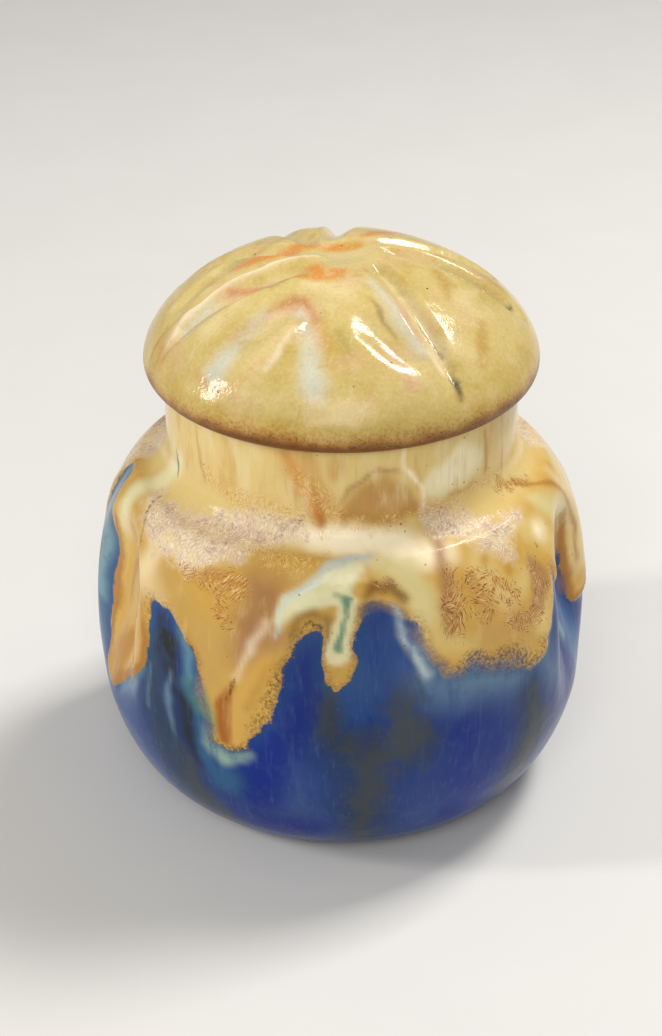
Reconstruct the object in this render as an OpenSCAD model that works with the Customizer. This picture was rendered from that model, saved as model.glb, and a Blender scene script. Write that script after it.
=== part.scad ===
// Lidded stoneware jar: a thrown, five-lobed body with a plain neck, and a domed lid with pressed folds.
// Millimetres, +Z up. The foot stands on Z = 0 and the jar turns about the Z axis.
// Angles count anticlockwise from +X, seen from above; the front of the jar is at 270 degrees.

/* [Body] */
// Diameter of the foot ring that the jar stands on
foot_d = 70; // [60:1:80]
// Height of the turned foot under the bowl
foot_h = 1.5; // [1:0.5:3]
// Width of the foot ring's flat
foot_ring_w = 6; // [4:0.5:10]
// Depth of the recess inside the foot ring
foot_recess = 1.5; // [0.5:0.25:2.5]
// Diameter of the body at its widest ring
belly_d = 103; // [92:1:116]
// Height of the widest ring above the ground
belly_z = 34; // [28:1:42]
// Rise of the shoulder from the widest ring to the root of the neck
shoulder_rise = 38; // [34:0.5:46]
// Fullness of the shoulder's curve; 2 is an ellipse, more is squarer
shoulder_fullness = 2.2; // [1.8:0.1:3]
// Thickness of the body's wall
body_wall = 5; // [3.5:0.5:6.5]
// Thickness of the body's floor at its middle
floor_t = 6; // [4:0.5:8]

/* [Thumb flutes] */
// Number of flutes pressed into the body
flute_count = 5; // [3:1:7]
// Direction of the first flute
flute_first = 273; // [0:1:359]
// Depth to which a flute is pressed
flute_depth = 6; // [3:0.5:7]
// Width of a flute, and of its arched head
flute_w = 32; // [26:1:38]
// Width of a flute's sloping side, from its edge to its bottom
flute_side = 12.5; // [9:0.5:14]
// Distance from the root of the neck down to the top of the arched head
flute_top_drop = 4; // [3:0.5:10]
// Length of a flute that keeps the full depth below its arched head
flute_straight = 7; // [4:1:12]
// Length over which a flute dies out below that
flute_fade = 24; // [16:1:28]

/* [Neck] */
// Outer diameter of the neck
neck_d = 70.4; // [62:0.2:78]
// Height of the neck above its root
neck_h = 18; // [14:0.5:22]
// Thickness of the neck's wall
neck_wall = 4.7; // [3.5:0.1:6]
// Radius of the hollow where the shoulder meets the neck
neck_fillet = 6; // [3:0.5:8]
// Rounding of the rim's outer edge
rim_round = 1.2; // [0.8:0.1:1.5]
// Chamfer of the rim's inner edge
rim_chamfer = 0.8; // [0.4:0.1:1]

/* [Lid] */
// Overhang of the lid past the neck, all round
lid_overhang = 3.6; // [2.5:0.1:6]
// Rounding of the lid's edge
lid_edge = 3.3; // [2:0.1:4]
// Rise of the dome above the lid's widest ring
lid_rise = 22.5; // [17:0.5:28]
// Fullness of the dome's curve; 2 is an ellipse, less is more pointed
dome_fullness = 1.8; // [1.6:0.1:2.4]
// Depth to which the crown is sunk where the folds meet
crown_sink = 2; // [0:0.5:4]
// Distance from the axis over which the crown is sunk
crown_sink_w = 7; // [5:0.5:12]
// Thickness of the lid between the crown of its hollow and the deepest fold
lid_wall = 4.5; // [3.5:0.5:6]
// Play between the lid's flange and the mouth, on each side
flange_play = 0.8; // [0.5:0.1:1.5]
// Thickness of the flange
flange_wall = 4; // [3:0.5:5]
// Depth of the flange below the rim
flange_depth = 8; // [5:0.5:12]

/* [Hidden] */
$fn = 96;

// Facets round the body, its inside and the lid
body_facets = 80;
inside_facets = 60;
lid_facets = 110;
// Steps along the bowl, the shoulder, the neck's fillet, a small rounding and the dome
bowl_steps = 9;
shoulder_steps = 12;
fillet_steps = 4;
edge_steps = 3;
dome_steps = 28;
inside_bowl_steps = 6;
inside_shoulder_steps = 9;
// Angles at which the dome's and the inside's curves stop short of the axis
crown_stop = 88;
inside_stop = 84;
// Reach of a cutting solid past the face that it cuts
past = 1;

foot_r = foot_d / 2;
belly_r = belly_d / 2;
neck_r = neck_d / 2;
mouth_r = neck_r - neck_wall;
neck_root_z = belly_z + shoulder_rise;
rim_z = neck_root_z + neck_h;

flute_pitch = 360 / flute_count;
flute_arch_z = neck_root_z - flute_top_drop - flute_w / 2;
flute_full_z = flute_arch_z - flute_straight;
flute_end_z = flute_full_z - flute_fade;

lid_r = neck_r + lid_overhang;
lid_wide_z = rim_z + lid_edge;
crown_z = lid_wide_z + lid_rise;
flange_r = mouth_r - flange_play;
hollow_r = flange_r - flange_wall;

// Folds pressed into the lid, which swirl past the crown instead of meeting at its middle. Each has its
// direction, the distance by which it passes the axis, the distance along it where it starts, the distance
// from the edge where it ends, its depth, and the widths of its right and left sides, looking outwards.
folds = [
  [196, 4.5, 5, 2, 1.5, 4.5, 3],
  [214, -13.9, 12, 4, 1, 3.5, 3.5],
  [217, 8, 12, 3, 1.4, 4.8, 4.8],
  [271.5, -6, 13, 4, 1.3, 5, 5],
  [301, 3, 4, 1, 2, 4.5, 2.6],
  [320, -14, 14, 4, 1.5, 5, 5],
  [352, 4, 5, 2, 1.6, 4.5, 2.6],
  [12, 4.5, 4, 4, 1.3, 4, 2.6],
  [82, 4, 4, 3, 2.2, 5, 2.6],
  [113, 4, 4, 3, 2.2, 5, 2.6],
  [152, 4, 5, 3, 1.6, 4.5, 2.6]
];
// Distance over which a fold fades in and out along its length, and up from the lid's widest ring
fold_fade = 6;
lid_drop_max = norm([crown_sink, max([for (fold = folds) fold[4]])]);

// A soft step from 0 to 1
function soft_step(t) = let (c = min(1, max(0, t))) c * c * (3 - 2 * c);

// A sine or cosine bent towards a squarer or a more pointed curve
function bent(t, fullness) = sign(t) * pow(abs(t), 2 / fullness);

// Points along an arc, without its first one; a fullness of 2 is an ellipse
function arc(centre, half_w, half_h, from, to, steps, fullness = 2) = [
  for (i = [1:steps])
    let (a = from + (to - from) * i / steps)
      [centre[0] + half_w * bent(cos(a), fullness), centre[1] + half_h * bent(sin(a), fullness)]
];

// How far a flute pushes the wall inwards at a direction and a height
function flute_press(angle, z) =
  let (turn = (angle - flute_first) / flute_pitch)
  let (across = belly_r * (turn - round(turn)) * flute_pitch * PI / 180)
  let (reach = norm([across, max(0, z - flute_arch_z)]))
  let (bowl = soft_step((flute_w / 2 - reach) / flute_side))
    flute_depth * bowl * soft_step((z - flute_end_z) / (flute_full_z - flute_end_z));

// How far one fold drops the lid at a direction and a distance from the axis
function fold_drop(fold, angle, r) =
  let (along = r * cos(angle - fold[0]), across = r * sin(angle - fold[0]) - fold[1])
  let (shown = soft_step((along - fold[2]) / fold_fade) * soft_step((lid_r - fold[3] - r) / fold_fade))
  let (side_w = across < 0 ? fold[5] : fold[6])
    fold[4] * shown * soft_step(1 - abs(across) / side_w);

// The folds and the sunk crown together, which leave the lid's rounded edge as it is
function lid_drop(angle, r, z) =
  let (crown = crown_sink * exp(-pow(r / crown_sink_w, 2)))
  let (folded = max([for (fold = folds) fold_drop(fold, angle, r)]))
    soft_step((z - lid_wide_z) / fold_fade) * norm([crown, folded]);

function body_ring(at, facets) = [
  for (i = [0:facets - 1])
    let (angle = 360 * i / facets, r = at[0] - flute_press(angle, at[1]))
      [r * cos(angle), r * sin(angle), at[1]]
];

function lid_ring(at) = [
  for (i = [0:lid_facets - 1])
    let (angle = 360 * i / lid_facets)
      [at[0] * cos(angle), at[0] * sin(angle), at[1] - lid_drop(angle, at[0], at[1])]
];

// A closed skin over rings of points, from the lowest ring to the highest
module loft(rings) {
  count = len(rings[0]);
  last = (len(rings) - 1) * count;
  sides = [
    for (k = [0:len(rings) - 2], i = [0:count - 1])
      let (low = k * count, high = low + count, next = (i + 1) % count)
        each [[low + i, high + i, high + next], [low + i, high + next, low + next]]
  ];
  bottom = [for (i = [0:count - 1]) i];
  top = [for (i = [count - 1:-1:0]) last + i];
  polyhedron(points = [for (ring = rings) each ring], faces = concat([bottom], sides, [top]));
}

// Outline of the body: foot, bowl, shoulder, fillet, neck and rim
shoulder_end = acos(pow(neck_fillet / (belly_r - neck_r), shoulder_fullness / 2));
shoulder_end_z = belly_z + shoulder_rise * bent(sin(shoulder_end), shoulder_fullness);
body_outline = concat(
  [[foot_r, 0], [foot_r, foot_h]],
  arc([foot_r, belly_z], belly_r - foot_r, belly_z - foot_h, -90, 0, bowl_steps),
  arc([neck_r, belly_z], belly_r - neck_r, shoulder_rise, 0, shoulder_end, shoulder_steps, shoulder_fullness),
  arc([neck_r + neck_fillet, shoulder_end_z + neck_fillet], neck_fillet, neck_fillet, 270, 180, fillet_steps),
  [[neck_r, rim_z - rim_round]],
  arc([neck_r - rim_round, rim_z - rim_round], rim_round, rim_round, 0, 90, edge_steps)
);

// Outline of the inside, a wall's thickness in from the body, up to its ceiling inside the mouth
inside_foot_r = foot_r - body_wall;
inside_belly_r = belly_r - body_wall;
inside_top_r = mouth_r - body_wall;
inside_outline = concat(
  [[inside_foot_r, floor_t]],
  arc([inside_foot_r, belly_z], inside_belly_r - inside_foot_r, belly_z - floor_t, -90, 0, inside_bowl_steps),
  arc([inside_top_r, belly_z], inside_belly_r - inside_top_r, shoulder_rise - body_wall, 0, inside_stop,
      inside_shoulder_steps, shoulder_fullness)
);

// Outline of the lid: edge and dome, from the underside to the crown
lid_outline = concat(
  [[lid_r - lid_edge, rim_z]],
  arc([lid_r - lid_edge, lid_wide_z], lid_edge, lid_edge, -90, 0, edge_steps),
  arc([0, lid_wide_z], lid_r, lid_rise, 0, crown_stop, dome_steps, dome_fullness)
);

// The body and neck, thrown as one piece
module pot() {
  color("#33509c")
    difference() {
      loft([for (at = body_outline) body_ring(at, body_facets)]);
      loft([for (at = inside_outline) body_ring(at, inside_facets)]);
      mouth();
      translate([0, 0, -past])
        cylinder(h = foot_recess + past, r = foot_r - foot_ring_w);
    }
}

// The round mouth, with its inner edge eased
module mouth() {
  translate([0, 0, belly_z])
    cylinder(h = rim_z - belly_z + past, r = mouth_r);
  translate([0, 0, rim_z - rim_chamfer])
    cylinder(h = rim_chamfer + past, r1 = mouth_r, r2 = mouth_r + rim_chamfer + past);
}

// The lid, with a flange that drops into the mouth
module lid() {
  color("#d8c27c")
    difference() {
      union() {
        loft([for (at = lid_outline) lid_ring(at)]);
        translate([0, 0, rim_z - flange_depth])
          cylinder(h = flange_depth + lid_edge, r = flange_r);
      }
      lid_hollow();
    }
}

// The hollow under the lid: straight inside the flange, then a shallow dome
module lid_hollow() {
  top_z = crown_z - lid_drop_max - lid_wall;
  spring_z = lid_wide_z + lid_wall;
  rise = top_z - spring_z;
  ball_r = (hollow_r * hollow_r + rise * rise) / (2 * rise);
  low_z = rim_z - flange_depth - past;
  translate([0, 0, low_z])
    cylinder(h = spring_z - low_z, r = hollow_r);
  intersection() {
    translate([0, 0, spring_z - past])
      cylinder(h = rise + 2 * past, r = hollow_r);
    translate([0, 0, top_z - ball_r])
      sphere(r = ball_r);
  }
}

pot();
lid();
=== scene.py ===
"""Lidded stoneware jar: the thrown pot and its folded lid, with their running glazes, on a plain floor.

Directions are in degrees, anticlockwise from +X seen from above, so the jar's front is at 270.
"""

from functools import partial
import math

import bpy
import numpy as np
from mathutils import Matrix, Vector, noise
from bpy.props import FloatProperty, FloatVectorProperty, IntProperty, PointerProperty
from bpy.types import Operator, Panel, PropertyGroup


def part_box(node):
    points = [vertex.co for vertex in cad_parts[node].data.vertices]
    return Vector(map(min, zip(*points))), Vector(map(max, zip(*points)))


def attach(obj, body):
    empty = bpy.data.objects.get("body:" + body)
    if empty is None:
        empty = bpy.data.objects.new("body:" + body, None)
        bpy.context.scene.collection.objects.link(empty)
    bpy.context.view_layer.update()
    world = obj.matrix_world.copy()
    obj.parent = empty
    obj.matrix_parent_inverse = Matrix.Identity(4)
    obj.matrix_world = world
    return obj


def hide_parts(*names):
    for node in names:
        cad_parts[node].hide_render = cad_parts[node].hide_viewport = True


bl_info = {
    "name": "Lidded Jar",
    "version": (1, 0, 0),
    "blender": (4, 5, 0),
    "location": "View3D > Sidebar > Jar",
    "description": "Models a glazed stoneware jar with a folded lid",
    "category": "Object",
}

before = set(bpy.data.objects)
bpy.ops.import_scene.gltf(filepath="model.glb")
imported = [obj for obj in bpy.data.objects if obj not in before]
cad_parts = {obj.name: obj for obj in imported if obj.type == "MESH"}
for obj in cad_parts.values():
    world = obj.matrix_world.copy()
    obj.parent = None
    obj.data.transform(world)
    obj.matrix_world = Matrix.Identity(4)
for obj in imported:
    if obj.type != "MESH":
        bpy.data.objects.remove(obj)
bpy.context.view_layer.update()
POT_LOW, POT_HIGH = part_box("pot")
LID_LOW, LID_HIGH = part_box("lid")

MM = 0.001
PHOTO_SIZE = (662, 1036)
# Points that a curved stretch of an outline is worked out with
ARC_POINTS = 240
# Slack when surfaces are told apart by their place, and the distance at which points are one
NEAR = 0.1 * MM
WELD = 0.005 * MM
# Places of the materials in a piece's list
GLAZED, BARE, LINED = range(3)
# Keeps a stroke of one point from being divided by its length of zero
TINY = 1e-9


def paint(code):
    """A colour written as on a screen, turned into the linear values that Blender mixes."""
    shares = [int(code[i:i + 2], 16) / 255 for i in (1, 3, 5)]
    return tuple(s / 12.92 if s <= 0.04045 else ((s + 0.055) / 1.055) ** 2.4 for s in shares)


def length(label, description, default):
    return FloatProperty(name=label, description=description, default=default, min=0.0, unit="LENGTH")


def colour(label, description, code):
    return FloatVectorProperty(name=label, description=description, default=paint(code),
                               size=3, min=0.0, max=1.0, subtype="COLOR")


class JarShape(PropertyGroup):
    """Sizes of the thrown clay."""

    foot_r: length("Foot radius", "Radius of the foot ring", 35 * MM)
    foot_h: length("Foot height", "Height of the turned foot", 1.5 * MM)
    foot_ring_w: length("Foot ring width", "Width of the foot ring's flat", 6 * MM)
    foot_recess: length("Foot recess", "Depth of the recess inside the foot ring", 1.5 * MM)
    foot_round: length("Foot rounding", "Rounding of the recess's corner", 1 * MM)
    foot_chamfer: length("Foot chamfer", "Width of the chamfers of the foot ring", 0.5 * MM)
    foot_edge: length("Foot edge", "Height of the foot ring's outer chamfer", 0.4 * MM)
    belly_r: length("Belly radius", "Radius of the widest ring", POT_HIGH.x)
    belly_z: length("Belly height", "Height of the widest ring", 34 * MM)
    shoulder_rise: length("Shoulder rise", "Rise from the widest ring to the root of the neck", 38 * MM)
    wall: length("Wall", "Thickness of the body's wall", 5 * MM)
    floor_t: length("Floor", "Thickness of the floor", 6 * MM)
    shoulder_fullness: FloatProperty(name="Shoulder fullness", default=2.2, min=1.5, max=4.0,
                                     description="2 is an ellipse, more is squarer")
    flute_count: IntProperty(name="Flutes", description="Number of flutes pressed into the body",
                             default=5, min=1, max=9)
    flute_first: FloatProperty(name="First flute", description="Direction of the first flute, in degrees",
                               default=273.0)
    flute_depth: length("Flute depth", "Depth to which a flute is pressed", 6 * MM)
    flute_w: length("Flute width", "Width of a flute", 32 * MM)
    flute_side: length("Flute side", "Width of the rounded side of a flute", 12.5 * MM)
    flute_top_drop: length("Flute drop", "From the neck's root down to the head of a flute", 4 * MM)
    flute_straight: length("Flute straight", "Length of a flute at full depth", 7 * MM)
    flute_fade: length("Flute fade", "Length over which a flute dies out", 24 * MM)
    neck_r: length("Neck radius", "Outer radius of the neck", 35.2 * MM)
    neck_wall: length("Neck wall", "Thickness of the neck", 4.7 * MM)
    neck_fillet: length("Neck fillet", "Radius of the hollow at the neck's root", 6 * MM)
    rim_z: length("Rim height", "Height of the rim", POT_HIGH.z)
    rim_round: length("Rim rounding", "Rounding of the rim's outer edge", 1.2 * MM)
    rim_chamfer: length("Rim chamfer", "Chamfer of the rim's inner edge", 0.8 * MM)
    rim_bare: length("Bare rim", "Depth to which the rim is left bare inside", 0.3 * MM)
    lid_r: length("Lid radius", "Radius of the lid", LID_HIGH.x)
    lid_edge: length("Lid edge", "Rounding of the lid's edge", 3.3 * MM)
    lid_rise: length("Lid rise", "Rise of the dome", 22.5 * MM)
    dome_fullness: FloatProperty(name="Dome fullness", default=1.8, min=1.2, max=3.0,
                                 description="2 is an ellipse, less is more pointed")
    crown_sink: length("Crown sink", "Depth of the hollow at the crown", 2 * MM)
    crown_sink_w: length("Crown sink width", "Width of the hollow at the crown", 7 * MM)
    fold_fade: length("Fold fade", "Distance over which a fold fades in and out", 6 * MM)
    lid_wall: length("Lid wall", "Thickness of the lid over its hollow", 4.5 * MM)
    lid_bare: length("Bare seat", "Height to which the lid is left bare over its seat", 0.2 * MM)
    flange_play: length("Flange play", "Play between the flange and the mouth", 0.8 * MM)
    flange_wall: length("Flange wall", "Thickness of the flange", 4 * MM)
    flange_ease: length("Flange ease", "Rounding of the flange's lower edges", 0.8 * MM)
    flange_low_z: length("Flange bottom", "Height of the flange's lower edge", LID_LOW.z)
    throwing_ring: length("Throwing ring", "Height of the ripples left inside by the fingers", 0.18 * MM)
    throwing_pitch: length("Throwing pitch", "Rise of one turn of the ripples", 5 * MM)
    throwing_top: length("Throwing top", "From the rim down to the first ripple", 12 * MM)
    ring_gap: length("Ring gap", "Distance between rings of points on the outside", 0.7 * MM)
    inside_gap: length("Inside gap", "Distance between rings of points inside and on plain faces", 2 * MM)
    flat_gap: length("Flat gap", "Distance between rings of points on the floor and under it", 6 * MM)
    dome_gap: length("Dome gap", "Distance between rings of points on the lid", 0.42 * MM)
    pot_steps: IntProperty(name="Pot steps", description="Points round the pot", default=440, min=32)
    lid_steps: IntProperty(name="Lid steps", description="Points round the lid", default=440, min=32)


class JarGlaze(PropertyGroup):
    """Colours and thickness of the glazes."""

    step: length("Glaze step", "Height of the ochre glaze above the blue one", 0.4 * MM)
    roll: length("Glaze roll", "Extra height of the rolled edge of a run", 0.28 * MM)
    proud: length("Glaze proud", "How far the thickest glaze stands out from the pot's outline", 0.4 * MM)
    margin: length("Glaze margin", "How far the glaze stays inside the belly's radius", 0.2 * MM)
    lip_out: length("Lip start", "How far outside its edge a run starts to rise", 0.6 * MM)
    lip_w: length("Lip width", "Width over which a run rises to its full step", 1.8 * MM)
    roll_in: length("Roll place", "From the edge of a run to the crest of its roll", 1.5 * MM)
    roll_w: length("Roll width", "Width of the rolled edge", 1.4 * MM)
    foot_fade: length("Foot fade", "Height over which the glaze thins out at the foot", 4 * MM)
    rim_fade: length("Rim fade", "Height over which the glaze thins out at the rim", 2 * MM)
    straw: colour("Straw", "Thin glaze on the neck and shoulder", "#dec27c")
    ochre: colour("Ochre", "Thick smooth runs", "#cda24e")
    tan: colour("Tan", "Runs where they thin out", "#c29a52")
    amber: colour("Amber", "Burnt edge of a smooth run", "#a96f28")
    # Partly pale glaze and partly painted highlight: the band is painted brightest where its lip catches
    # the light, and this colour also paints highlights on the left shoulder, on the front left lobe and on
    # the neck
    peach_and_highlight: colour("Peach", "Pale band on the shoulder", "#ffefca")
    olive: colour("Olive straw", "Greenish cream beside an arch", "#d6c88c")
    celadon: colour("Celadon", "Pale green-cream lip over an arch", "#e6dfb0")
    ice: colour("Ice", "Pale blue-grey edge of a lip", "#c2d0c8")
    green: colour("Green", "Narrow copper-green run", "#52876a")
    rust: colour("Rust", "Iron that gathers in a run", "#a25a18")
    brown: colour("Brown", "Iron speckle along the edges", "#6e4216")
    umber: colour("Umber", "Darkest iron lines", "#482d15")
    gold: colour("Gold", "Feathery gold crystals", "#bf8636")
    # Pale gold patches of the crystal mat, and painted glints on the needles of gold, sandy and scorched
    # crystals
    gold_pale_and_glint: colour("Pale gold", "Lit needles among the gold crystals", "#efd08c")
    blush: colour("Blush", "Ground of the crystal mat", "#e2caa6")
    # Painted glints on the needles of the crystal mat
    blush_glint: colour("Pale blush", "Lit needles of the crystal mat", "#faecd0")
    # Painted shade on the needles of the crystal mat
    blush_shade: colour("Dark blush", "Shaded needles of the crystal mat", "#9c7748")
    rose: colour("Rose", "Grey-pink clusters of the crystal mat", "#c6a48d")
    scorch: colour("Scorch", "Red-brown crystals", "#b9814a")
    mauve: colour("Mauve", "Smooth brown-pink pools", "#a8784f")
    sienna: colour("Sienna", "Orange-brown ground of the red-brown crystals and on the neck", "#c9974f")
    cobalt: colour("Cobalt", "Ground of the blue glaze", "#1d3a7a")
    ultramarine: colour("Ultramarine", "Deepest blue", "#07267e")
    azure: colour("Azure", "Brighter blue", "#2c4c84")
    cerulean: colour("Cerulean", "Light blue in a flute", "#3671a0")
    lavender: colour("Lavender", "Greyish light blue", "#3a5488")
    haze: colour("Haze", "Milky blue under the runs", "#6f8ea2")
    slate: colour("Slate", "Grey-blue columns", "#253850")
    # On the lid, soot and smoke only darken a line along one crease and spots at the lower ends of two
    # creases
    soot: colour("Soot", "Black-brown core of a column", "#1f2123")
    smoke: colour("Smoke", "Grey-olive smoke in the blue and in the lid's grooves", "#3e4448")
    teal: colour("Teal", "Blue-green where the glazes meet", "#2f6082")
    cyan: colour("Cyan", "Pale blue-green below a run", "#7ba6ab")
    halo: colour("Halo", "Pale green line below a run", "#90ae9a")
    lid_straw: colour("Lid straw", "Main colour of the lid", "#d2b973")
    lid_khaki: colour("Lid khaki", "Darker patches of the lid", "#bc9c48")
    lid_cream: colour("Lid cream", "Palest patches of the lid and the neck", "#e4d09b")
    lid_orange: colour("Lid orange", "Burnt patches at the crown and on the neck", "#d58634")
    lid_pink: colour("Lid pink", "Pink bottom of the folds", "#d8aa88")
    lid_red: colour("Lid red", "Red-brown edge of the pools", "#bf7a4a")
    # Painted highlight: a pale line where a fold's lip catches the light
    lid_painted_highlight: colour("Lid shine", "Pale pink line along a fold's lip", "#f6e2c4")
    lid_pool: colour("Lid pool", "Pale grey-blue pools", "#cbcdbe")
    lid_olive: colour("Lid olive", "Olive in the narrow grooves", "#a3945a")
    rim_brown: colour("Rim brown", "Bare-burnt line at the lid's lower edge", "#6c3807")
    clay: colour("Clay", "Unglazed stoneware", "#b99a76")
    clay_dark: colour("Toasted clay", "Unglazed stoneware where the kiln toasted it", "#8f6842")


class JarStage(PropertyGroup):
    """Camera, lights and floor."""

    tilt: FloatProperty(name="Camera tilt", description="Height of the camera above the horizon",
                        default=math.radians(30.5), subtype="ANGLE")
    distance: length("Camera distance", "From the camera to its target", 0.45)
    target_z: length("Target height", "Height of the point that the camera looks at", 0.05)
    pixels_per_mm: FloatProperty(name="Pixels per mm", description="Scale of the photograph at the target",
                                 default=4.85, min=0.1)
    target_x_px: FloatProperty(name="Target across", description="Target's place across the photograph",
                               default=341.5, subtype="PIXEL")
    target_y_px: FloatProperty(name="Target down", description="Target's place down the photograph",
                               default=541.0, subtype="PIXEL")
    floor_size: length("Floor size", "Width of the floor", 60.0)
    floor: colour("Floor", "Pale floor", "#dcd9d3")
    floor_grain: colour("Floor grain", "Palest grain of the floor", "#e0ddd7")
    lamp_aim_z: length("Lamp aim", "Height of the point that the lamps face", 0.06)
    sky_level: FloatProperty(name="Sky level", description="Strength of the even light",
                             default=0.25, min=0.0)


# Lamps, with their place and size in metres and their power in watts
LAMPS = {
    "window_light": ((-0.9, -0.15, 0.48), (0.1, 0.35), 4.2),
    "ceiling_light": ((0.4, 0.25, 0.8), (0.24, 0.24), 6.0),
    "front_light": ((-0.1, -0.95, 0.75), (0.6, 0.6), 5.5),
}
# Direction where the unrolled surface is cut: a place at the back with hardly any crystals
SEAM = 55
# Directions between which the strokes of the front are repeated at the back, and the direction of the
# mirror between the two
FRONT = (205, 312)
MIRROR = 345
# The edges of the colours wander by chance, the same in every run: the start of that chance, and the
# lengths and reaches of the wandering in millimetres
DRIFT_SEED = 3
POT_DRIFTS = ((9, 1.6), (2.6, 0.5))
LID_DRIFTS = ((7, 1.0), (2.2, 0.35))
# Distances, in millimetres, over which strokes of one patch, runs and bays melt together, and the distance
# from a patch past which nothing counts
STROKE_MELT = 1.0
RUN_MELT = 2.0
BAY_MELT = 1.2
FAR = 20.0
# Softness, in millimetres, of the ridges of the glaze and of the lid's creases
RIDGE_SOFT = 2.0
CREASE_SOFT = 0.8
# Share of the grey-blue pool colour in the deepest folds of the lid, and their depth in millimetres
POOL_SHARE = 0.2
POOL_DEPTH = 3.0


def ring(height, half):
    """Strokes that together go all round the pot at one height."""
    first, step = 200, 72
    turns = range(first, first + 360, step)
    return [[(turn % 360, height, half), ((turn + step) % 360, height, half)] for turn in turns]


# A stroke is a row of points, each with a direction in degrees, a height in millimetres and half the
# stroke's width there in millimetres. The ochre glaze covers the pot down to a level edge, and its runs
# reach lower.
RUN_EDGE = 59.5
RUNS = {
    "left drip": [(205, 62, 13.5), (206, 46, 13.8), (201.5, 38, 9.5), (198.5, 32.5, 6)],
    "front left lobe": [(245, 58, 14), (247.4, 50, 10.2), (246.2, 43.3, 7.8), (245.4, 39.6, 6.4),
                        (245, 35.6, 4.6)],
    "over the gap": [(220, 61, 5), (228, 60.5, 5), (233, 57.5, 3.5)],
    "over the arch": [(258, 61, 4), (263, 60.5, 5), (268, 61, 4)],
    "middle drop": [(269.7, 62, 4), (269.5, 50, 4.2), (269, 47, 3), (268.5, 44, 1)],
    "front right lobe": [(297, 62, 9), (296.5, 56, 7.5), (295.5, 51.5, 4)],
    "front right middle": [(305, 60, 9), (305, 55.5, 8)],
    "front right drip": [(317, 60, 10), (317, 52, 8.5), (317.5, 47, 5.5)],
    "right flute": [(338, 60, 9), (345, 55, 7)],
    "right lobe": [(2, 62, 9), (0, 48, 6.5), (359, 42, 4.5)],
    "back middle drop": [(126, 62, 3), (127, 48, 2.4), (127, 44, 1.2)],
    "back left lobe": [(144, 60, 9), (144, 51, 8)],
    "back left drip": [(162, 60, 10), (163, 46, 9), (161, 39, 6)],
}
# Bays of blue that reach up between the runs
BAYS = {
    "left strip": [(184, 66, 3.4), (185, 52, 5.5), (184, 38, 6)],
    "gap": [(228, 49.4, 4.2), (229.6, 46, 6), (229.8, 42, 7.3), (228, 37, 8.2), (226, 33, 10)],
    "first arch": [(262.8, 54, 2.8), (262, 48, 3.6)],
    "second arch": [(279.3, 59, 3.4), (280.5, 50, 4.5)],
}
# Relief of the glaze apart from its step: a stroke and its height in millimetres
RIDGES = (
    ([(270.5, 64, 1.6), (270.8, 57, 1.2), (269.6, 50, 2.4), (269, 46, 1.6)], 0.35),
    ([(282.5, 62, 0.5), (285, 55, 0.6), (289, 48, 0.4)], 0.35),
    ([(199, 37, 4)], 0.3),
    ([(245, 38, 2.4)], 0.3),
    ([(254.5, 56, 0.6), (256.5, 61, 0.8), (262, 66.5, 1), (270, 69, 1)], 0.35),
    ([(246, 37, 0.8), (251, 44, 1), (256, 51, 1)], 0.3),
    ([(241.5, 49.5, 0.5)], 0.3),
)
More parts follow.
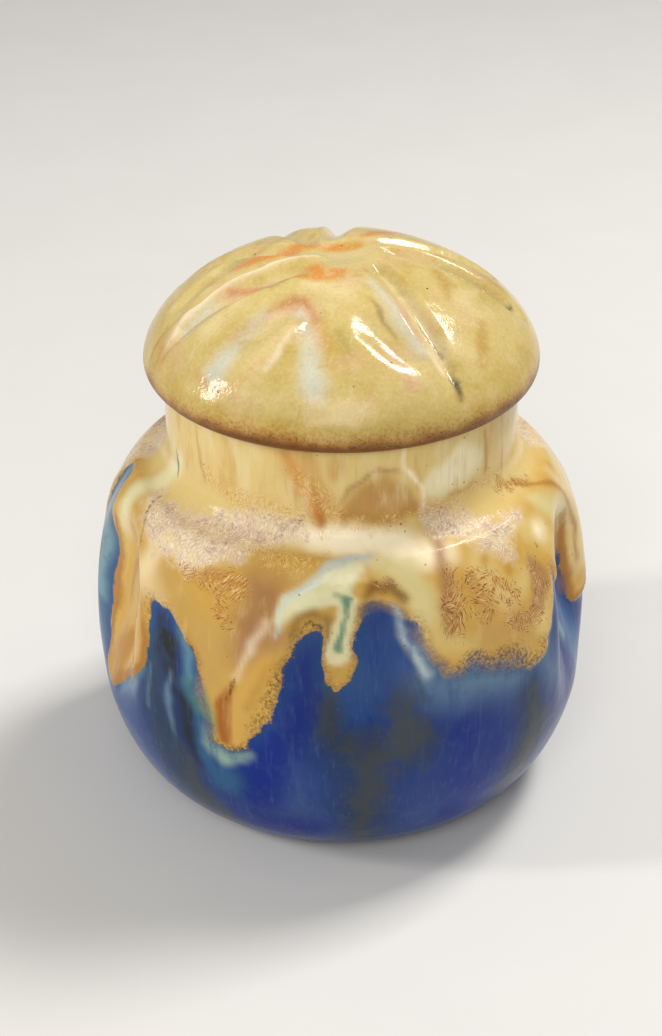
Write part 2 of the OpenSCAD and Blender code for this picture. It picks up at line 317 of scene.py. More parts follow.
# Places where the glaze is crystalline, sandy, golden, scorched, smoky or speckled, where its edge melts or
# stays clean, and where lines of iron lie in it
MARKS = {
    "crystal": [
        [(205, 70, 2), (214, 69, 5), (228, 69, 6.5), (243, 71, 5), (258, 73.5, 2)],
        [(297, 73, 2), (306, 71, 4), (316, 68.5, 3.5), (325, 70, 1.5)],
        [(12, 70, 6), (34, 70, 5)],
        [(142, 70, 6), (175, 70, 6)]],
    "sand": [
        [(222, 78, 1.5), (240, 76.5, 2), (258, 75.8, 1.5)],
        [(246, 70, 1.5), (258, 69, 2), (266, 70, 1)],
        [(262, 73, 0.4), (285, 72.4, 0.4)],
        [(257, 83, 2), (264, 79.5, 2.6), (270, 76.5, 1.6)],
        [(272, 74.8, 0.6), (296, 74.8, 0.6), (322, 76, 1), (330, 75, 1.6)],
        [(72, 76, 1.6), (130, 76, 1.6)]],
    "neck": ring(86, 9),
    "gold": [
        [(229, 64, 0.8), (236, 64, 2.4), (246, 65, 2)],
        [(240, 62, 2), (242.5, 57.5, 1)],
        [(246, 63, 0.8)],
        [(328, 73.5, 1.2), (343, 70.5, 0.8)],
        [(301, 66, 0.5), (308, 64, 1.5), (314, 60, 1)],
        [(12, 63, 2.5), (28, 61, 3.5)],
        [(152, 63, 2.5), (168, 61, 3.5)]],
    "scorch": [
        [(297.5, 67, 0.8), (297, 62, 2.2), (296.7, 57, 2.6)],
        [(301.5, 64, 1.2), (303.5, 61.5, 2), (305, 58, 1.8)],
        [(321, 61, 1.2), (322.5, 57, 2), (320, 53.5, 2.4)],
        [(311, 55, 1.2), (315, 53.2, 2.6), (319, 52.4, 2.2)],
        [(309, 60, 0.5), (313, 57.5, 0.8)],
        [(279, 66, 0.3), (283, 65.8, 0.3)],
        [(24, 56, 3.5), (23, 51, 2.5)],
        [(160, 56, 3), (162, 50, 3.5)]],
    "smoky": [
        [(232, 24, 1), (235, 14, 3), (238, 7, 3)],
        [(266, 41, 1), (268, 36.5, 1.6), (272, 32.5, 2), (277, 31, 3)],
        [(285, 44.5, 0.8), (284.5, 38.5, 3), (286, 34.5, 4), (281, 31, 3.5)],
        [(278, 31, 4), (277, 25, 3.6), (275.5, 17, 3), (275, 8, 2)],
        [(318, 35, 1), (321, 27, 2.5), (319, 18, 2)]],
    "speckled": [
        [(235, 51, 0.4), (237.5, 45, 0.6)],
        [(260, 54, 0.6), (256, 47, 1), (250, 38, 1)],
        [(240, 31, 2), (248, 31, 2)],
        [(298, 48.5, 3), (308, 47.5, 3.5), (318, 44, 4)],
        [(24, 43, 5)],
        [(144, 44, 6)]],
    "melting": [
        [(275.5, 60.5, 1.5), (279.5, 62.5, 4), (284, 61, 1.5)],
        [(286, 57, 1), (291, 52, 1.5), (294, 48, 1.5)],
        [(237.5, 44, 1.5), (238.5, 39, 2.4), (240, 33, 1.5)],
        [(297, 49, 3), (307, 48, 3.5), (317, 45, 3)],
        [(334, 53, 3), (345, 48, 3), (352, 44, 2)]],
    "clean": [
        [(204, 58, 12), (204, 44, 16), (199, 32, 11)],
        [(358, 50, 8), (358, 38, 8)]],
    "iron": [
        [(260.3, 57.6, 0.05), (262.8, 59.4, 0.3), (265, 57.6, 0.35), (265.4, 52, 0.2), (265.6, 47, 0.1)],
        [(204, 70.6, 0.1), (209, 67, 0.15), (212, 62.5, 0.1), (212.5, 57, -0.1)],
        [(233.5, 52.5, 0.1), (235.3, 49.5, 0.4), (237, 46, 0.1)],
        [(247.5, 49, -0.1), (246, 45.5, 0.3), (244.3, 42, 0.2)],
        [(326, 65, 0.1), (326.5, 63.5, 0.2)],
        [(270.5, 74.6, -0.2), (258, 74.8, 0.1), (246, 74.2, -0.3)],
        [(276, 64.3, -0.4), (279, 66.3, 0), (283, 66, 0), (285, 64, -0.4)]],
}
# Colour washes of the ochre glaze: colour, width of the soft edge in millimetres, share and strokes
OCHRE_WASHES = (
    ("straw", 6, 1.0, ring(82, 14)),
    ("straw", 5, 0.8, [
        [(197, 66, 2.5), (193, 55, 1.8), (191.5, 44, 0.8)], [(3, 66, 6), (359, 50, 4)],
        [(306, 66, 4), (311, 59, 3), (322, 62, 1)], [(290, 62, 4), (291, 56, 2.5), (300, 52, 2)],
        [(322, 49, 2.5), (324, 55, 1)], [(216, 60, 2), (219, 66, 2)],
        [(321, 70.5, 1.5), (326, 67.5, 3), (331, 64.5, 3)]]),
    ("celadon", 5, 0.85, [[(207, 77, 2), (200, 73, 3.5), (196, 67, 2.5), (194, 60, 1)]]),
    # Pale glaze on the left shoulder with a painted highlight where the light falls on it
    ("peach_and_highlight", 6, 0.45, [[(217, 66, 2), (219, 60, 3.5), (226, 58, 2)]]),
    ("tan", 6, 0.85, [
        [(225, 61, 3), (232, 56, 3), (239, 52, 5), (241, 46, 3)], [(304, 53, 4), (312, 49, 5)],
        [(150, 56, 6)]]),
    # Pale band round the shoulder, partly painted highlight along the lip of the flutes
    ("peach_and_highlight", 5, 1.0, [
        [(256, 72.5, 2), (270, 71.3, 3.8), (285, 70.3, 4.2), (298, 69.5, 2)], [(330, 66, 1.5)],
        [(116, 71, 1), (126, 69, 3), (136, 71, 1)]]),
    ("olive", 5, 0.9, [
        [(280, 69, 1.5), (287, 67, 3.5), (290, 61, 2.5)], [(335, 69, 2), (342, 65, 3.5), (350, 62, 2)]]),
    ("mauve", 8, 1.0, [
        [(249, 67, 1.5), (252.5, 63.5, 4.5), (251, 58, 5.5), (248, 53, 3)],
        [(298, 73, 1.5), (304, 73.5, 1)],
        [(160, 60, 4), (161, 52, 3)], [(20, 58, 4), (22, 52, 3)]]),
    ("mauve", 3, 0.85, [
        [(298, 71, 1.2), (296, 66, 1.4), (295.3, 61, 1.8), (295.5, 57, 1.4)],
        [(321, 62, 1.4), (323, 58, 2.6), (321, 54.5, 2)]]),
    ("sienna", 4, 0.8, [
        [(300.5, 64, 2), (303.5, 61, 2.4), (305, 57.5, 2)], [(310, 55.5, 1.5), (316, 53.5, 3)]]),
    ("gold", 2.5, 0.7, [[(307.5, 67, 1.4)], [(314.5, 64, 1)], [(236, 65, 1), (246, 65.4, 0.8)]]),
    ("ochre", 3, 0.9, [
        [(206, 54, 4), (204.5, 44, 5), (199, 36, 3)],
        [(246.5, 37, 2), (251, 44, 2.4), (256, 51, 2), (259, 56, 1)]]),
    ("amber", 3.5, 0.6, [
        [(205, 62, 0.6), (201, 54, 1.6), (199, 47, 0.6)], [(203, 38, 3), (200, 32, 4)],
        [(249, 41, 0.3), (254, 48.5, 0.6), (257, 53, 0.2)]]),
    ("rust", 2.5, 0.6, [[(233.5, 53, 0.3), (236, 48.5, 1), (238, 43.5, 0.7)]]),
    ("green", 3, 0.7, [[(239, 43, 0.6), (239.5, 37.5, 1.8), (241, 33, 0.8)]]),
    ("celadon", 2.5, 1.0, [
        [(255.5, 59, 1), (258.5, 62.5, 2.2), (264, 65, 3), (270, 66.5, 3), (275, 68, 1.5)]]),
    ("brown", 2.5, 0.5, [
        [(258.5, 57, 0.6), (260.5, 60.2, 1), (264, 61.2, 1.1), (267, 58.5, 1), (267.4, 52, 1)]]),
    ("ochre", 2, 0.9, [[(269.5, 49.5, 3.5), (269, 45, 2.5)]]),
    ("brown", 2, 0.75, [[(276, 63.6, 0.7), (278.5, 65.4, 1.2), (282, 65.8, 1), (285, 63.8, 0.9)]]),
    ("smoke", 4, 0.45, [[(276, 60, 2), (283, 60.5, 2)]]),
    ("ice", 1.8, 0.9, [
        [(254.5, 56.5, 0.2), (256.3, 61.2, 0.4), (260, 65.4, 0.6), (266, 68.7, 0.8), (272, 69.2, 1.1),
         (278, 69.6, 0.6)],
        [(282.5, 62.2, 0.4), (284.7, 57, 0.8), (288, 51, 0.7), (290, 47.5, 0.4)]]),
    ("celadon", 1.6, 0.9, [
        [(268, 64, 1.4), (272.5, 63, 1)], [(270.6, 63, 2.2), (271, 59, 1.8), (270.2, 52.5, 3)]]),
    ("green", 1.2, 0.9, [
        [(267.6, 64.6, 0.25), (272, 63.6, 0.35)],
        [(270.4, 63.4, 1.0), (270.9, 59.3, 0.3), (270.3, 53, 0.9)],
        [(126, 62, 1.2), (127, 50, 0.8)]]),
    ("rust", 1.4, 0.95, [
        [(247.3, 48, -0.1), (245, 44, 0.7), (243.4, 40, 1.7), (243.6, 36, 1.6), (244, 33.5, 1)]]),
    # Painted highlight: a thin pale streak along the front left lobe
    ("peach_and_highlight", 3, 0.6, [
        [(247, 47.5, 0.3), (249.5, 53, 0.8), (252.5, 58.5, 0.4)]]),
    ("lid_cream", 4, 0.6, [[(352, 68, 2.5), (356, 62, 2.5), (359, 54, 2), (359, 46, 1.5)]]),
    ("mauve", 4, 0.9, [[(336, 58, 2), (346, 54, 3.4), (351, 51, 2)]]),
    ("amber", 1.8, 0.9, [
        [(336, 71.6, 1), (344, 69.5, 0.5), (351, 65.6, 0.6), (355, 60.8, 0.6), (358.3, 55, 0.6),
         (358, 47, 0.3)]]),
    # Neck
    ("tan", 3, 0.9, [
        [(272, 75.5, 1.5), (276.5, 78.5, 3), (283, 80.4, 3.2), (289, 78.5, 3), (294, 75.5, 1.5)],
        [(278, 76.5, 3), (288, 76.5, 3)]]),
    ("scorch", 3, 0.5, [[(272, 76, 1), (278, 79, 2.4), (288, 79, 2.4), (294, 76, 1)]]),
    ("amber", 3, 0.6, [[(272, 75.5, 0.8), (283, 75.2, 1), (294, 75.5, 0.6)]]),
    ("sienna", 4, 0.75, [[(252, 88, 1.5), (256, 81, 2), (262, 76.5, 2)], [(232, 88, 1), (235, 80, 1)]]),
    ("mauve", 1.5, 0.7, [[(270, 77, 0.2), (273.5, 81.4, 0.6), (280, 84.3, 0.7), (287, 84.2, 0.4)]]),
    ("peach_and_highlight", 1.6, 0.9, [
        [(297, 75, 0.3), (296.8, 79, 0.5), (293, 83, 0.6), (289, 85, 0.5), (290, 90, 0.4)]]),
    ("celadon", 4, 0.85, [[(301, 80, 3.5), (310, 83, 5), (317, 82, 3)]]),
    # Painted light on the right of the neck, brightening it where the lid shades it
    ("peach_and_highlight", 4, 0.55, [[(300, 80, 2.5), (309, 83, 4), (316, 82, 2)]]),
    ("gold", 3, 0.5, [[(258, 88, 2), (263, 80, 3.5), (268, 77, 2)], [(268, 86, 2.5)]]),
    ("lid_orange", 3.5, 0.75, [[(253, 88, 0.5), (256, 84, 1), (260, 80, 1.4), (264, 76, 1.4)]]),
    ("slate", 1, 0.9, [[(203.5, 79, 0), (205, 76, 0.6), (205.5, 73.5, 0.2)]]),
    ("amber", 2, 0.75, [
        [(261, 83, 0.1), (263, 79, 0.9), (264.5, 75.5, 1.4)],
        [(217.5, 88, -0.3), (219, 81, 0.4), (222, 77, 0.3)],
        [(321, 88, 0.4), (322, 78, 0.7)], [(331, 88, 0), (332, 76, 0.5)],
        [(306, 76.5, 0.2), (316, 77, 0.4)], [(80, 86, 0), (80, 76, 0.5)],
        [(150, 88, 0), (151, 77, 0.5)]]),
)
# Colour washes of the blue glaze
BLUE_WASHES = (
    ("lavender", 12, 0.9, [
        [(203, 32, 6), (207, 20, 7), (214, 12, 6)], [(257, 27, 3), (259, 18, 4.5), (264, 10, 4)],
        [(290, 12, 3), (302, 9, 4)]]),
    ("ultramarine", 9, 1.0, [
        [(263, 55, 1), (261, 49, 3), (257, 40, 6), (252, 30, 7), (252, 22, 5)],
        [(247, 12, 4), (262, 10, 5)]]),
    ("ultramarine", 12, 0.9, [
        [(297, 34, 4), (303, 27, 7), (300, 14, 7)], [(20, 32, 8), (24, 20, 8)], [(92, 28, 9)],
        [(150, 28, 9)]]),
    ("azure", 7, 0.95, [
        [(270, 37, 3), (275, 43, 6), (278, 50, 4), (281, 55, 2)], [(263, 55, 0.5)], [(130, 36, 6)]]),
    ("haze", 15, 0.95, [
        [(289, 47, 1), (297, 45, 2.5), (307, 44, 2.5), (313, 41, 1)], [(323, 42, 0.5), (326, 37, 0.5)]]),
    ("slate", 8, 0.95, [
        [(223, 46, 4), (225, 36, 5.5), (228, 24, 6.5), (231, 14, 5.5)],
        [(316, 36, 3), (319, 26, 5), (317, 14, 5)],
        [(122, 40, 3), (120, 16, 4)]]),
    ("slate", 9, 0.7, [
        [(266, 39, 1), (271, 30, 4), (275, 18, 6), (275, 8, 4)], [(285, 40, 2), (287, 33, 4)]]),
    ("haze", 6, 0.75, [[(183, 72, 2), (184, 66, 2.5), (186, 54, 3), (187, 42, 2), (186, 30, 2)]]),
    ("halo", 6, 0.45, [[(184, 68, 2), (186, 54, 2.5), (187, 42, 1.5)]]),
    ("teal", 5, 0.85, [
        [(221, 54, 0.3), (220.5, 48, 1), (218, 40, 1.5)],
        [(232, 53, 1), (234.5, 49, 1.4), (235.5, 44, 1)],
        [(236, 36, 1), (239, 28, 2.5), (243, 22, 3)], [(188, 46, 0.5), (186, 30, 2)]]),
    ("smoke", 3, 0.75, [
        [(283.6, 57, 0.3), (286, 50, 0.4), (289, 44, 0.4)], [(266.5, 45, 0.8), (267.5, 38, 1.4)]]),
    ("soot", 4, 1.0, [
        [(225.5, 53, 1.5), (227, 49.5, 3), (228.5, 46, 2.2), (231, 42, 1.2), (233.5, 37, 1.5),
         (234.5, 31, 1.5),
         (235, 25, 0.6)]]),
    ("cyan", 4, 0.8, [
        [(219, 41, 0.6), (214, 34, 1.2), (206, 28.5, 0.8)],
        [(231.5, 52.5, 0.6), (233.5, 49, 0.6), (235, 44, 0.2)],
        [(343, 43, 0.6), (345, 36, 1.2)], [(188, 54, 0), (187.5, 42, 1)]]),
    ("ultramarine", 4, 0.8, [[(338, 52, 2), (348, 46, 1.6), (350, 41, 1)]]),
    ("haze", 2, 0.8, [
        [(229.8, 43.5, 0.2), (229, 37, 0.6), (230, 29.5, 0.1)], [(222.5, 43, 0.1), (222, 33, 0.3)]]),
    ("halo", 3.5, 0.95, [[(237.5, 35, -0.5), (239.5, 31.5, 1), (244, 28.2, 1.8), (249, 30.2, 0.6)]]),
    ("green", 3.5, 0.7, [[(234.5, 43, 0.8), (237, 38, 1.6)]]),
    ("cerulean", 7, 0.8, [[(350, 40, 1), (351, 32, 2.5), (351, 22, 2)]]),
    ("ice", 3, 0.9, [[(283, 61, 0.3), (285, 55.5, 0.6), (287, 51.5, 0.8), (289, 48.5, 0.8)]]),
    ("ultramarine", 1.6, 1.0, [[(246.5, 20, 0.5), (249, 18.3, 0.9)], [(270, 11, 0.3), (272, 12, 0.6)]]),
)
# Colour washes of the lid, by direction, distance from the axis and half width
LID_WASHES = (
    ("lid_khaki", 8, 0.6, [
        [(264, 26, 1.5), (271, 28, 3), (275, 33, 2)], [(249, 30, 0.8), (250, 34, 1)],
        [(222, 27, 0.8), (221, 32, 1)],
        [(322, 12, 2), (320, 18, 1)], [(70, 24, 4)], [(110, 26, 4)], [(318, 37, 1), (340, 37, 1)],
        [(345, 28, 2.5), (8, 30, 3)]]),
    ("lid_cream", 7, 0.8, [
        [(214, 30, 1.5), (216, 24, 1)], [(245, 14, 1.5), (270, 15, 2.5)], [(335, 26, 2)],
        [(300, 30, 1), (312, 30, 2)], [(204, 26, 1.2), (201, 33, 1)], [(240, 33, 1), (246, 27, 0.5)],
        [(40, 26, 4)], [(95, 20, 4)], [(135, 28, 4)]]),
    ("lid_olive", 3.5, 0.6, [
        [(139, 14, 0.3), (160, 17.5, 0.8), (179, 24, 0.8), (187, 29, 0.3)],
        [(326, 8, 0.2), (320, 10, 0.3)],
        [(269, 25, 0.8), (274, 29, 0.6)], [(8, 18, 0.3), (2, 26, 0.5), (359, 31, 0.8)]]),
    ("lid_pool", 4.5, 0.85, [
        [(233, 23, 0.8), (230, 27.5, 1), (229, 31, 1.4), (228, 35, 2.6)],
        [(254, 23.5, 0.8), (258, 29, 1.6), (262, 34, 2.6)], [(245, 20, 1), (251, 21.5, 0.8)],
        [(203, 27, 1), (203, 32, 0.8)], [(295, 14, 0.6), (297, 22, 1.2), (299, 30, 1.2)]]),
    # Painted light on the shaded steep wall of the fold at 301 degrees, lifting it to pale cream
    ("lid_cream", 3, 0.9, [[(318, 11, 0.6), (312, 18, 1.2), (308.5, 25, 1.4), (306.5, 31, 1)]]),
    ("lid_orange", 3.5, 0.45, [
        [(221, 36.2, 0.4), (229, 37.2, 0.5), (238, 35.2, 0.6), (242, 31.6, 0.3)],
        [(237, 22.5, 0.3), (227, 29, 0.6)],
        [(260, 22, 0.3), (265, 28, 0.5)], [(194, 36, 1), (208, 38, 0.8)]]),
    ("lid_pink", 3, 0.9, [
        [(222, 14, 0.9), (213, 18, 1.2), (204, 22.5, 1), (200, 25, 0.5)],
        [(233, 22.5, 0.6), (239, 20, 1.2), (250, 19, 1.2), (256, 21.5, 0.8)],
        [(258, 24, 0.3), (260, 27, 0.4)],
        [(287, 27, 0.4), (289, 30, 0.8), (291.5, 34.5, 1)],
        [(303, 17, 0.8), (301, 23, 0.8), (302, 28, 0.4)],
        [(181, 16, 1), (186, 21, 0.8)], [(312, 26, 0.6)]]),
    ("lid_red", 2, 0.8, [
        [(220, 15.5, 0.1), (211, 18.5, 0.7), (202, 23, 0.4)],
        [(232, 22, 0.1), (235, 19, 0.6), (241, 17.8, 0.9), (248, 18, 0.8), (255, 20, 0.4),
         (258, 23, 0)]]),
    ("lid_orange", 2.5, 0.9, [
        [(234, 9, 1.8), (246, 10, 2), (266, 9.4, 1.6)],
        [(234, 12.5, 0.9), (250, 11.8, 1.2), (268, 11, 0.7)],
        [(142, 4, 1.5), (100, 3.4, 1.8), (60, 4.8, 1.5)],
        [(150, 7, 1.7), (175, 12, 2.2), (181, 17, 1.7), (184, 21, 0.6)],
        [(63, 9.5, 1), (54, 16, 1.2), (51, 20, 0.4)], [(12, 18, 0.4), (18, 25, 0.9), (16, 29, 0.5)]]),
    # Painted highlights along the lips of the folds and on the lower end of a crease
    ("lid_painted_highlight", 2, 0.9, [
        [(206, 5.5, 0.2), (198, 13, 0.6), (196.5, 22.8, 0.8), (198, 30, 0.7), (201, 35.5, 0.4)],
        [(250, 24.5, 0.1), (247, 29, 0.5), (245, 33, 0.3)], [(303, 30, 0.2), (304, 33, 0.5)]]),
    ("tan", 2.5, 0.9, [
        [(347, 18.5, 1.2), (341, 20.5, 1.4), (328, 23.5, 0.4)],
        [(331, 30, 0.7), (324, 33, 1.5), (318, 35, 0.8)]]),
    ("rim_brown", 1.4, 0.55, [
        [(236, 11.5, 0.1), (223, 17.5, 0.3), (208.5, 24.5, 0.4), (204.5, 31, 0.3), (204, 37, 0.2)],
        [(287, 17.5, 0), (289, 21, 0.5), (292, 26, 0.2)],
        [(193, 34, 0), (196, 38, 0.3)], [(199, 36, 0), (201, 38, 0.2)]]),
    # Dark spots at the lower ends of the creases near 0 and 306 degrees, and a dark line along the crease
    # at 306 degrees
    ("smoke", 1.4, 0.85, [
        [(358, 31, 0.6), (0.5, 33, 0.5)], [(306.3, 33.8, 0.4), (306, 35.5, 0.9), (305, 37.4, 0.5)]]),
    ("soot", 0.9, 0.8, [
        [(311, 18, -0.1), (308, 24, 0.2), (306.6, 31, 0.25)], [(306, 34.5, 0.2), (305.4, 36.8, 0.4)]]),
)

# Folds pressed into the lid. Each has its direction, the distance by which it passes the axis, the distance
# along it where it starts, the distance from the edge where it ends, its depth, and the widths of its right
# and left sides, looking outwards, in millimetres.
FOLDS = (
    (196, 4.5, 5, 2, 1.5, 4.5, 3),
    (214, -13.9, 12, 4, 1, 3.5, 3.5),
    (217, 8, 12, 3, 1.4, 4.8, 4.8),
    (271.5, -6, 13, 4, 1.3, 5, 5),
    (301, 3, 4, 1, 2, 4.5, 2.6),
    (320, -14, 14, 4, 1.5, 5, 5),
    (352, 4, 5, 2, 1.6, 4.5, 2.6),
    (12, 4.5, 4, 4, 1.3, 4, 2.6),
    (82, 4, 4, 3, 2.2, 5, 2.6),
    (113, 4, 4, 3, 2.2, 5, 2.6),
    (152, 4, 5, 3, 1.6, 4.5, 2.6),
)
# Fine creases and ridges of the lid, with their height in millimetres, below zero for a crease
LID_LINES = (
    ([(188, 10, 0.2), (193, 15, 0.3), (195, 25, 0.3), (193.5, 36, 0.2)], -0.35),
    ([(206, 5.5, 0.3), (198, 13, 0.5), (196.5, 22.8, 0.6), (198, 30, 0.5), (201, 35.5, 0.4)], 0.4),
    ([(331, 6, 0.2), (320.5, 9, 0.3), (313.4, 14, 0.3), (309.6, 20, 0.3), (307, 28, 0.3),
      (305.8, 36, 0.2)], -0.15),
    ([(22, 8, 0.2), (11.5, 12, 0.3), (4.8, 18, 0.3), (0.8, 26, 0.3), (358.8, 34, 0.2)], -0.45),
    ([(301, 17, 0.2), (300, 21, 0.4), (299.5, 27, 0.3)], 0.35),
    ([(252, 23, 0.3), (247, 28, 0.6), (243.5, 33, 0.4)], 0.35),
)


def soft_step(t):
    t = np.clip(t, 0.0, 1.0)
    return t * t * (3.0 - 2.0 * t)


def arc(centre, half_w, half_h, start, end, fullness=2.0):
    """Close points along an arc; a fullness of 2 is an ellipse, more is squarer."""
    angles = np.radians(np.linspace(start, end, ARC_POINTS))
    across, up = (np.sign(t) * np.abs(t) ** (2 / fullness) for t in (np.cos(angles), np.sin(angles)))
    return np.column_stack([centre[0] + half_w * across, centre[1] + half_h * up])


def travel(points):
    """Distance along a line of points, from its first one."""
    steps = np.linalg.norm(np.diff(points, axis=0), axis=1)
    return np.concatenate([[0.0], np.cumsum(steps)])


def spaced(stretches):
    """One outline from stretches of points, each with its own distance between points."""
    outline = []
    for points, gap in stretches:
        points = np.asarray(points, float)
        along = travel(points)
        stations = np.linspace(0.0, along[-1], max(2, math.ceil(along[-1] / gap) + 1))
        evenly = np.column_stack([np.interp(stations, along, points[:, k]) for k in (0, 1)])
        outline.extend(evenly[1:] if outline else evenly)
    return outline


def body_outside(shape):
    """Outline of the pot from its foot to its rim."""
    s = shape
    bulge = s.belly_r - s.neck_r
    end = math.degrees(math.acos((s.neck_fillet / bulge) ** (s.shoulder_fullness / 2)))
    shoulder = arc((s.neck_r, s.belly_z), bulge, s.shoulder_rise, 0, end, s.shoulder_fullness)
    fillet_z = shoulder[-1][1] + s.neck_fillet
    round_z = s.rim_z - s.rim_round
    return np.concatenate([
        [(s.foot_r, s.foot_h)],
        arc((s.foot_r, s.belly_z), s.belly_r - s.foot_r, s.belly_z - s.foot_h, -90, 0),
        shoulder,
        arc((s.neck_r + s.neck_fillet, fillet_z), s.neck_fillet, s.neck_fillet, 270, 180),
        arc((s.neck_r - s.rim_round, round_z), s.rim_round, s.rim_round, 0, 90),
    ])


def body_inside(shape):
    """Outline of the pot's inside from the mouth down to the floor."""
    s = shape
    foot, belly, mouth = s.foot_r - s.wall, s.belly_r - s.wall, s.neck_r - s.neck_wall
    top = mouth - s.wall
    meets = math.degrees(math.acos(((mouth - top) / (belly - top)) ** (s.shoulder_fullness / 2)))
    return np.concatenate([
        arc((top, s.belly_z), belly - top, s.shoulder_rise - s.wall, meets, 0, s.shoulder_fullness),
        arc((foot, s.belly_z), belly - foot, s.belly_z - s.floor_t, 0, -90),
    ])


def lid_outside(shape):
    """Outline of the lid from under its edge to the crown."""
    s = shape
    wide_z = s.rim_z + s.lid_edge
    return np.concatenate([
        arc((s.lid_r - s.lid_edge, wide_z), s.lid_edge, s.lid_edge, -90, 0),
        arc((0, wide_z), s.lid_r, s.lid_rise, 0, 90, s.dome_fullness),
    ])


def throw(name, outline, steps):
    """A piece turned on the wheel: a ring is cut open, drawn out along the outline and turned about Z."""
    bpy.ops.object.select_all(action="DESELECT")
    bpy.ops.mesh.primitive_circle_add(vertices=len(outline), radius=MM, location=(0, 0, 0))
    piece = bpy.context.object
    piece.name = name
    piece.data.name = name
    bpy.ops.object.mode_set(mode="EDIT")
    bpy.ops.mesh.select_mode(type="EDGE")
    bpy.ops.mesh.select_all(action="DESELECT")
    bpy.ops.object.mode_set(mode="OBJECT")
    ends = {0, len(outline) - 1}
    for edge in piece.data.edges:
        edge.select = set(edge.vertices) == ends
    bpy.ops.object.mode_set(mode="EDIT")
    bpy.ops.mesh.delete(type="EDGE")
    bpy.ops.object.mode_set(mode="OBJECT")
    drawn = [(radius, 0, height) for radius, height in outline]
    piece.data.vertices.foreach_set("co", np.ravel(drawn))
    bpy.ops.object.modifier_add(type="SCREW")
    lathe = piece.modifiers[-1]
    lathe.steps = lathe.render_steps = steps
    bpy.ops.object.modifier_apply(modifier=lathe.name)
    bpy.ops.object.mode_set(mode="EDIT")
    bpy.ops.mesh.select_mode(type="VERT")
    bpy.ops.mesh.select_all(action="SELECT")
    bpy.ops.mesh.remove_doubles(threshold=WELD)
    bpy.ops.mesh.normals_make_consistent(inside=False)
    bpy.ops.object.mode_set(mode="OBJECT")
    bpy.ops.object.shade_smooth()
    return piece


def points_of(piece):
    """A mesh's points, with each one's direction in degrees and its distance from the axis."""
    flat = np.empty(len(piece.data.vertices) * 3)
    piece.data.vertices.foreach_get("co", flat)
    points = flat.reshape(-1, 3)
    direction = np.degrees(np.arctan2(points[:, 1], points[:, 0])) % 360
    return points, direction, np.hypot(points[:, 0], points[:, 1])


def set_points(piece, direction, radius, height):
    turn = np.radians(direction)
    points = np.column_stack([radius * np.cos(turn), radius * np.sin(turn), height])
    piece.data.vertices.foreach_set("co", points.ravel())
    piece.data.update()


def set_field(piece, name, values):
    layer = piece.data.attributes.new(name, "FLOAT", "POINT")
    layer.data.foreach_set("value", np.asarray(values, np.float32))


def set_vectors(piece, name, vectors):
    layer = piece.data.attributes.new(name, "FLOAT_VECTOR", "POINT")
    layer.data.foreach_set("vector", np.asarray(vectors, np.float32).ravel())


def set_colours(piece, name, colours):
    layer = piece.data.attributes.new(name, "FLOAT_COLOR", "POINT")
    full = np.column_stack([colours, np.ones(len(colours))])
    layer.data.foreach_set("color", np.asarray(full, np.float32).ravel())


def stray(points, size, by):
    """A smooth irregular drift of each point, in millimetres, across and along the surface."""
    noise.seed_set(DRIFT_SEED)
    scaled = points / size
    drift = np.array([noise.noise_vector(point) for point in scaled])
    return by * drift[:, 0], by * drift[:, 1]


def wandering(points, drifts):
    """The sum of several drifts of each point."""
    strays = [stray(points, size * MM, by) for size, by in drifts]
    return sum(x for x, y in strays), sum(y for x, y in strays)


def within(across, up, stroke):
    """How far inside a stroke a place lies; across and up give its offset from a point of the stroke."""
    first = stroke[0]
    best = np.full(len(up(first)), -np.inf)
    for start, end in zip(stroke, stroke[1:] or stroke):
        x, y = across(start, first), up(start)
        run_x, run_y = x - across(end, first), y - up(end)
        square = np.maximum(run_x ** 2 + run_y ** 2, TINY)
        share = np.clip((x * run_x + y * run_y) / square, 0, 1)
        away = np.hypot(x - share * run_x, y - share * run_y)
        best = np.maximum(best, start[2] + share * (end[2] - start[2]) - away)
    return best


def joined(a, b, soft):
    """The greater of two distances, with a rounded meeting."""
    share = np.clip(0.5 + 0.5 * (a - b) / soft, 0, 1)
    return b + (a - b) * share + soft * share * (1 - share)


def reach(inside, strokes):
    """How far inside a patch of strokes each place lies, in millimetres."""
    best = inside(strokes[0])
    for stroke in strokes[1:]:
        best = joined(best, inside(stroke), STROKE_MELT)
    return np.maximum(best, -FAR)


def patch(inside, strokes, soft):
    """Cover of a soft-edged patch, from 0 to 1."""
    return soft_step(reach(inside, strokes) / soft + 0.5)


def mirrored(stroke):
    """A stroke's mirror image on the far side of the pot."""
    return [((2 * MIRROR - turn) % 360, height, half) for turn, height, half in stroke]


def all_round(strokes):
    """The strokes, and mirror images of those at the front, which glaze the back."""
    low, high = FRONT
    front = [stroke for stroke in strokes if all(low <= turn <= high for turn, height, half in stroke)]
    return [*strokes, *map(mirrored, front)]


def washed(inside, ground, washes, glaze):
    """A glaze's colour at every place: soft washes brushed over its ground, one after another."""
    colours = np.array(ground, float)
    for name, soft, share, strokes in washes:
        cover = share * patch(inside, strokes, soft)
        colours = colours + cover[:, None] * (np.array(getattr(glaze, name)) - colours)
    return colours


def flute_press(shape, direction, z):
    """How far the thumb flutes push the wall inwards."""
    s = shape
    pitch = 360 / s.flute_count
    arch_z = s.belly_z + s.shoulder_rise - s.flute_top_drop - s.flute_w / 2
    full_z = arch_z - s.flute_straight
    turn = (direction - s.flute_first) / pitch
    across = s.belly_r * np.radians((turn - np.round(turn)) * pitch)
    away = np.hypot(across, np.maximum(0, z - arch_z))
    bowl = soft_step((s.flute_w / 2 - away) / s.flute_side)
    return s.flute_depth * bowl * soft_step((z - full_z + s.flute_fade) / s.flute_fade)


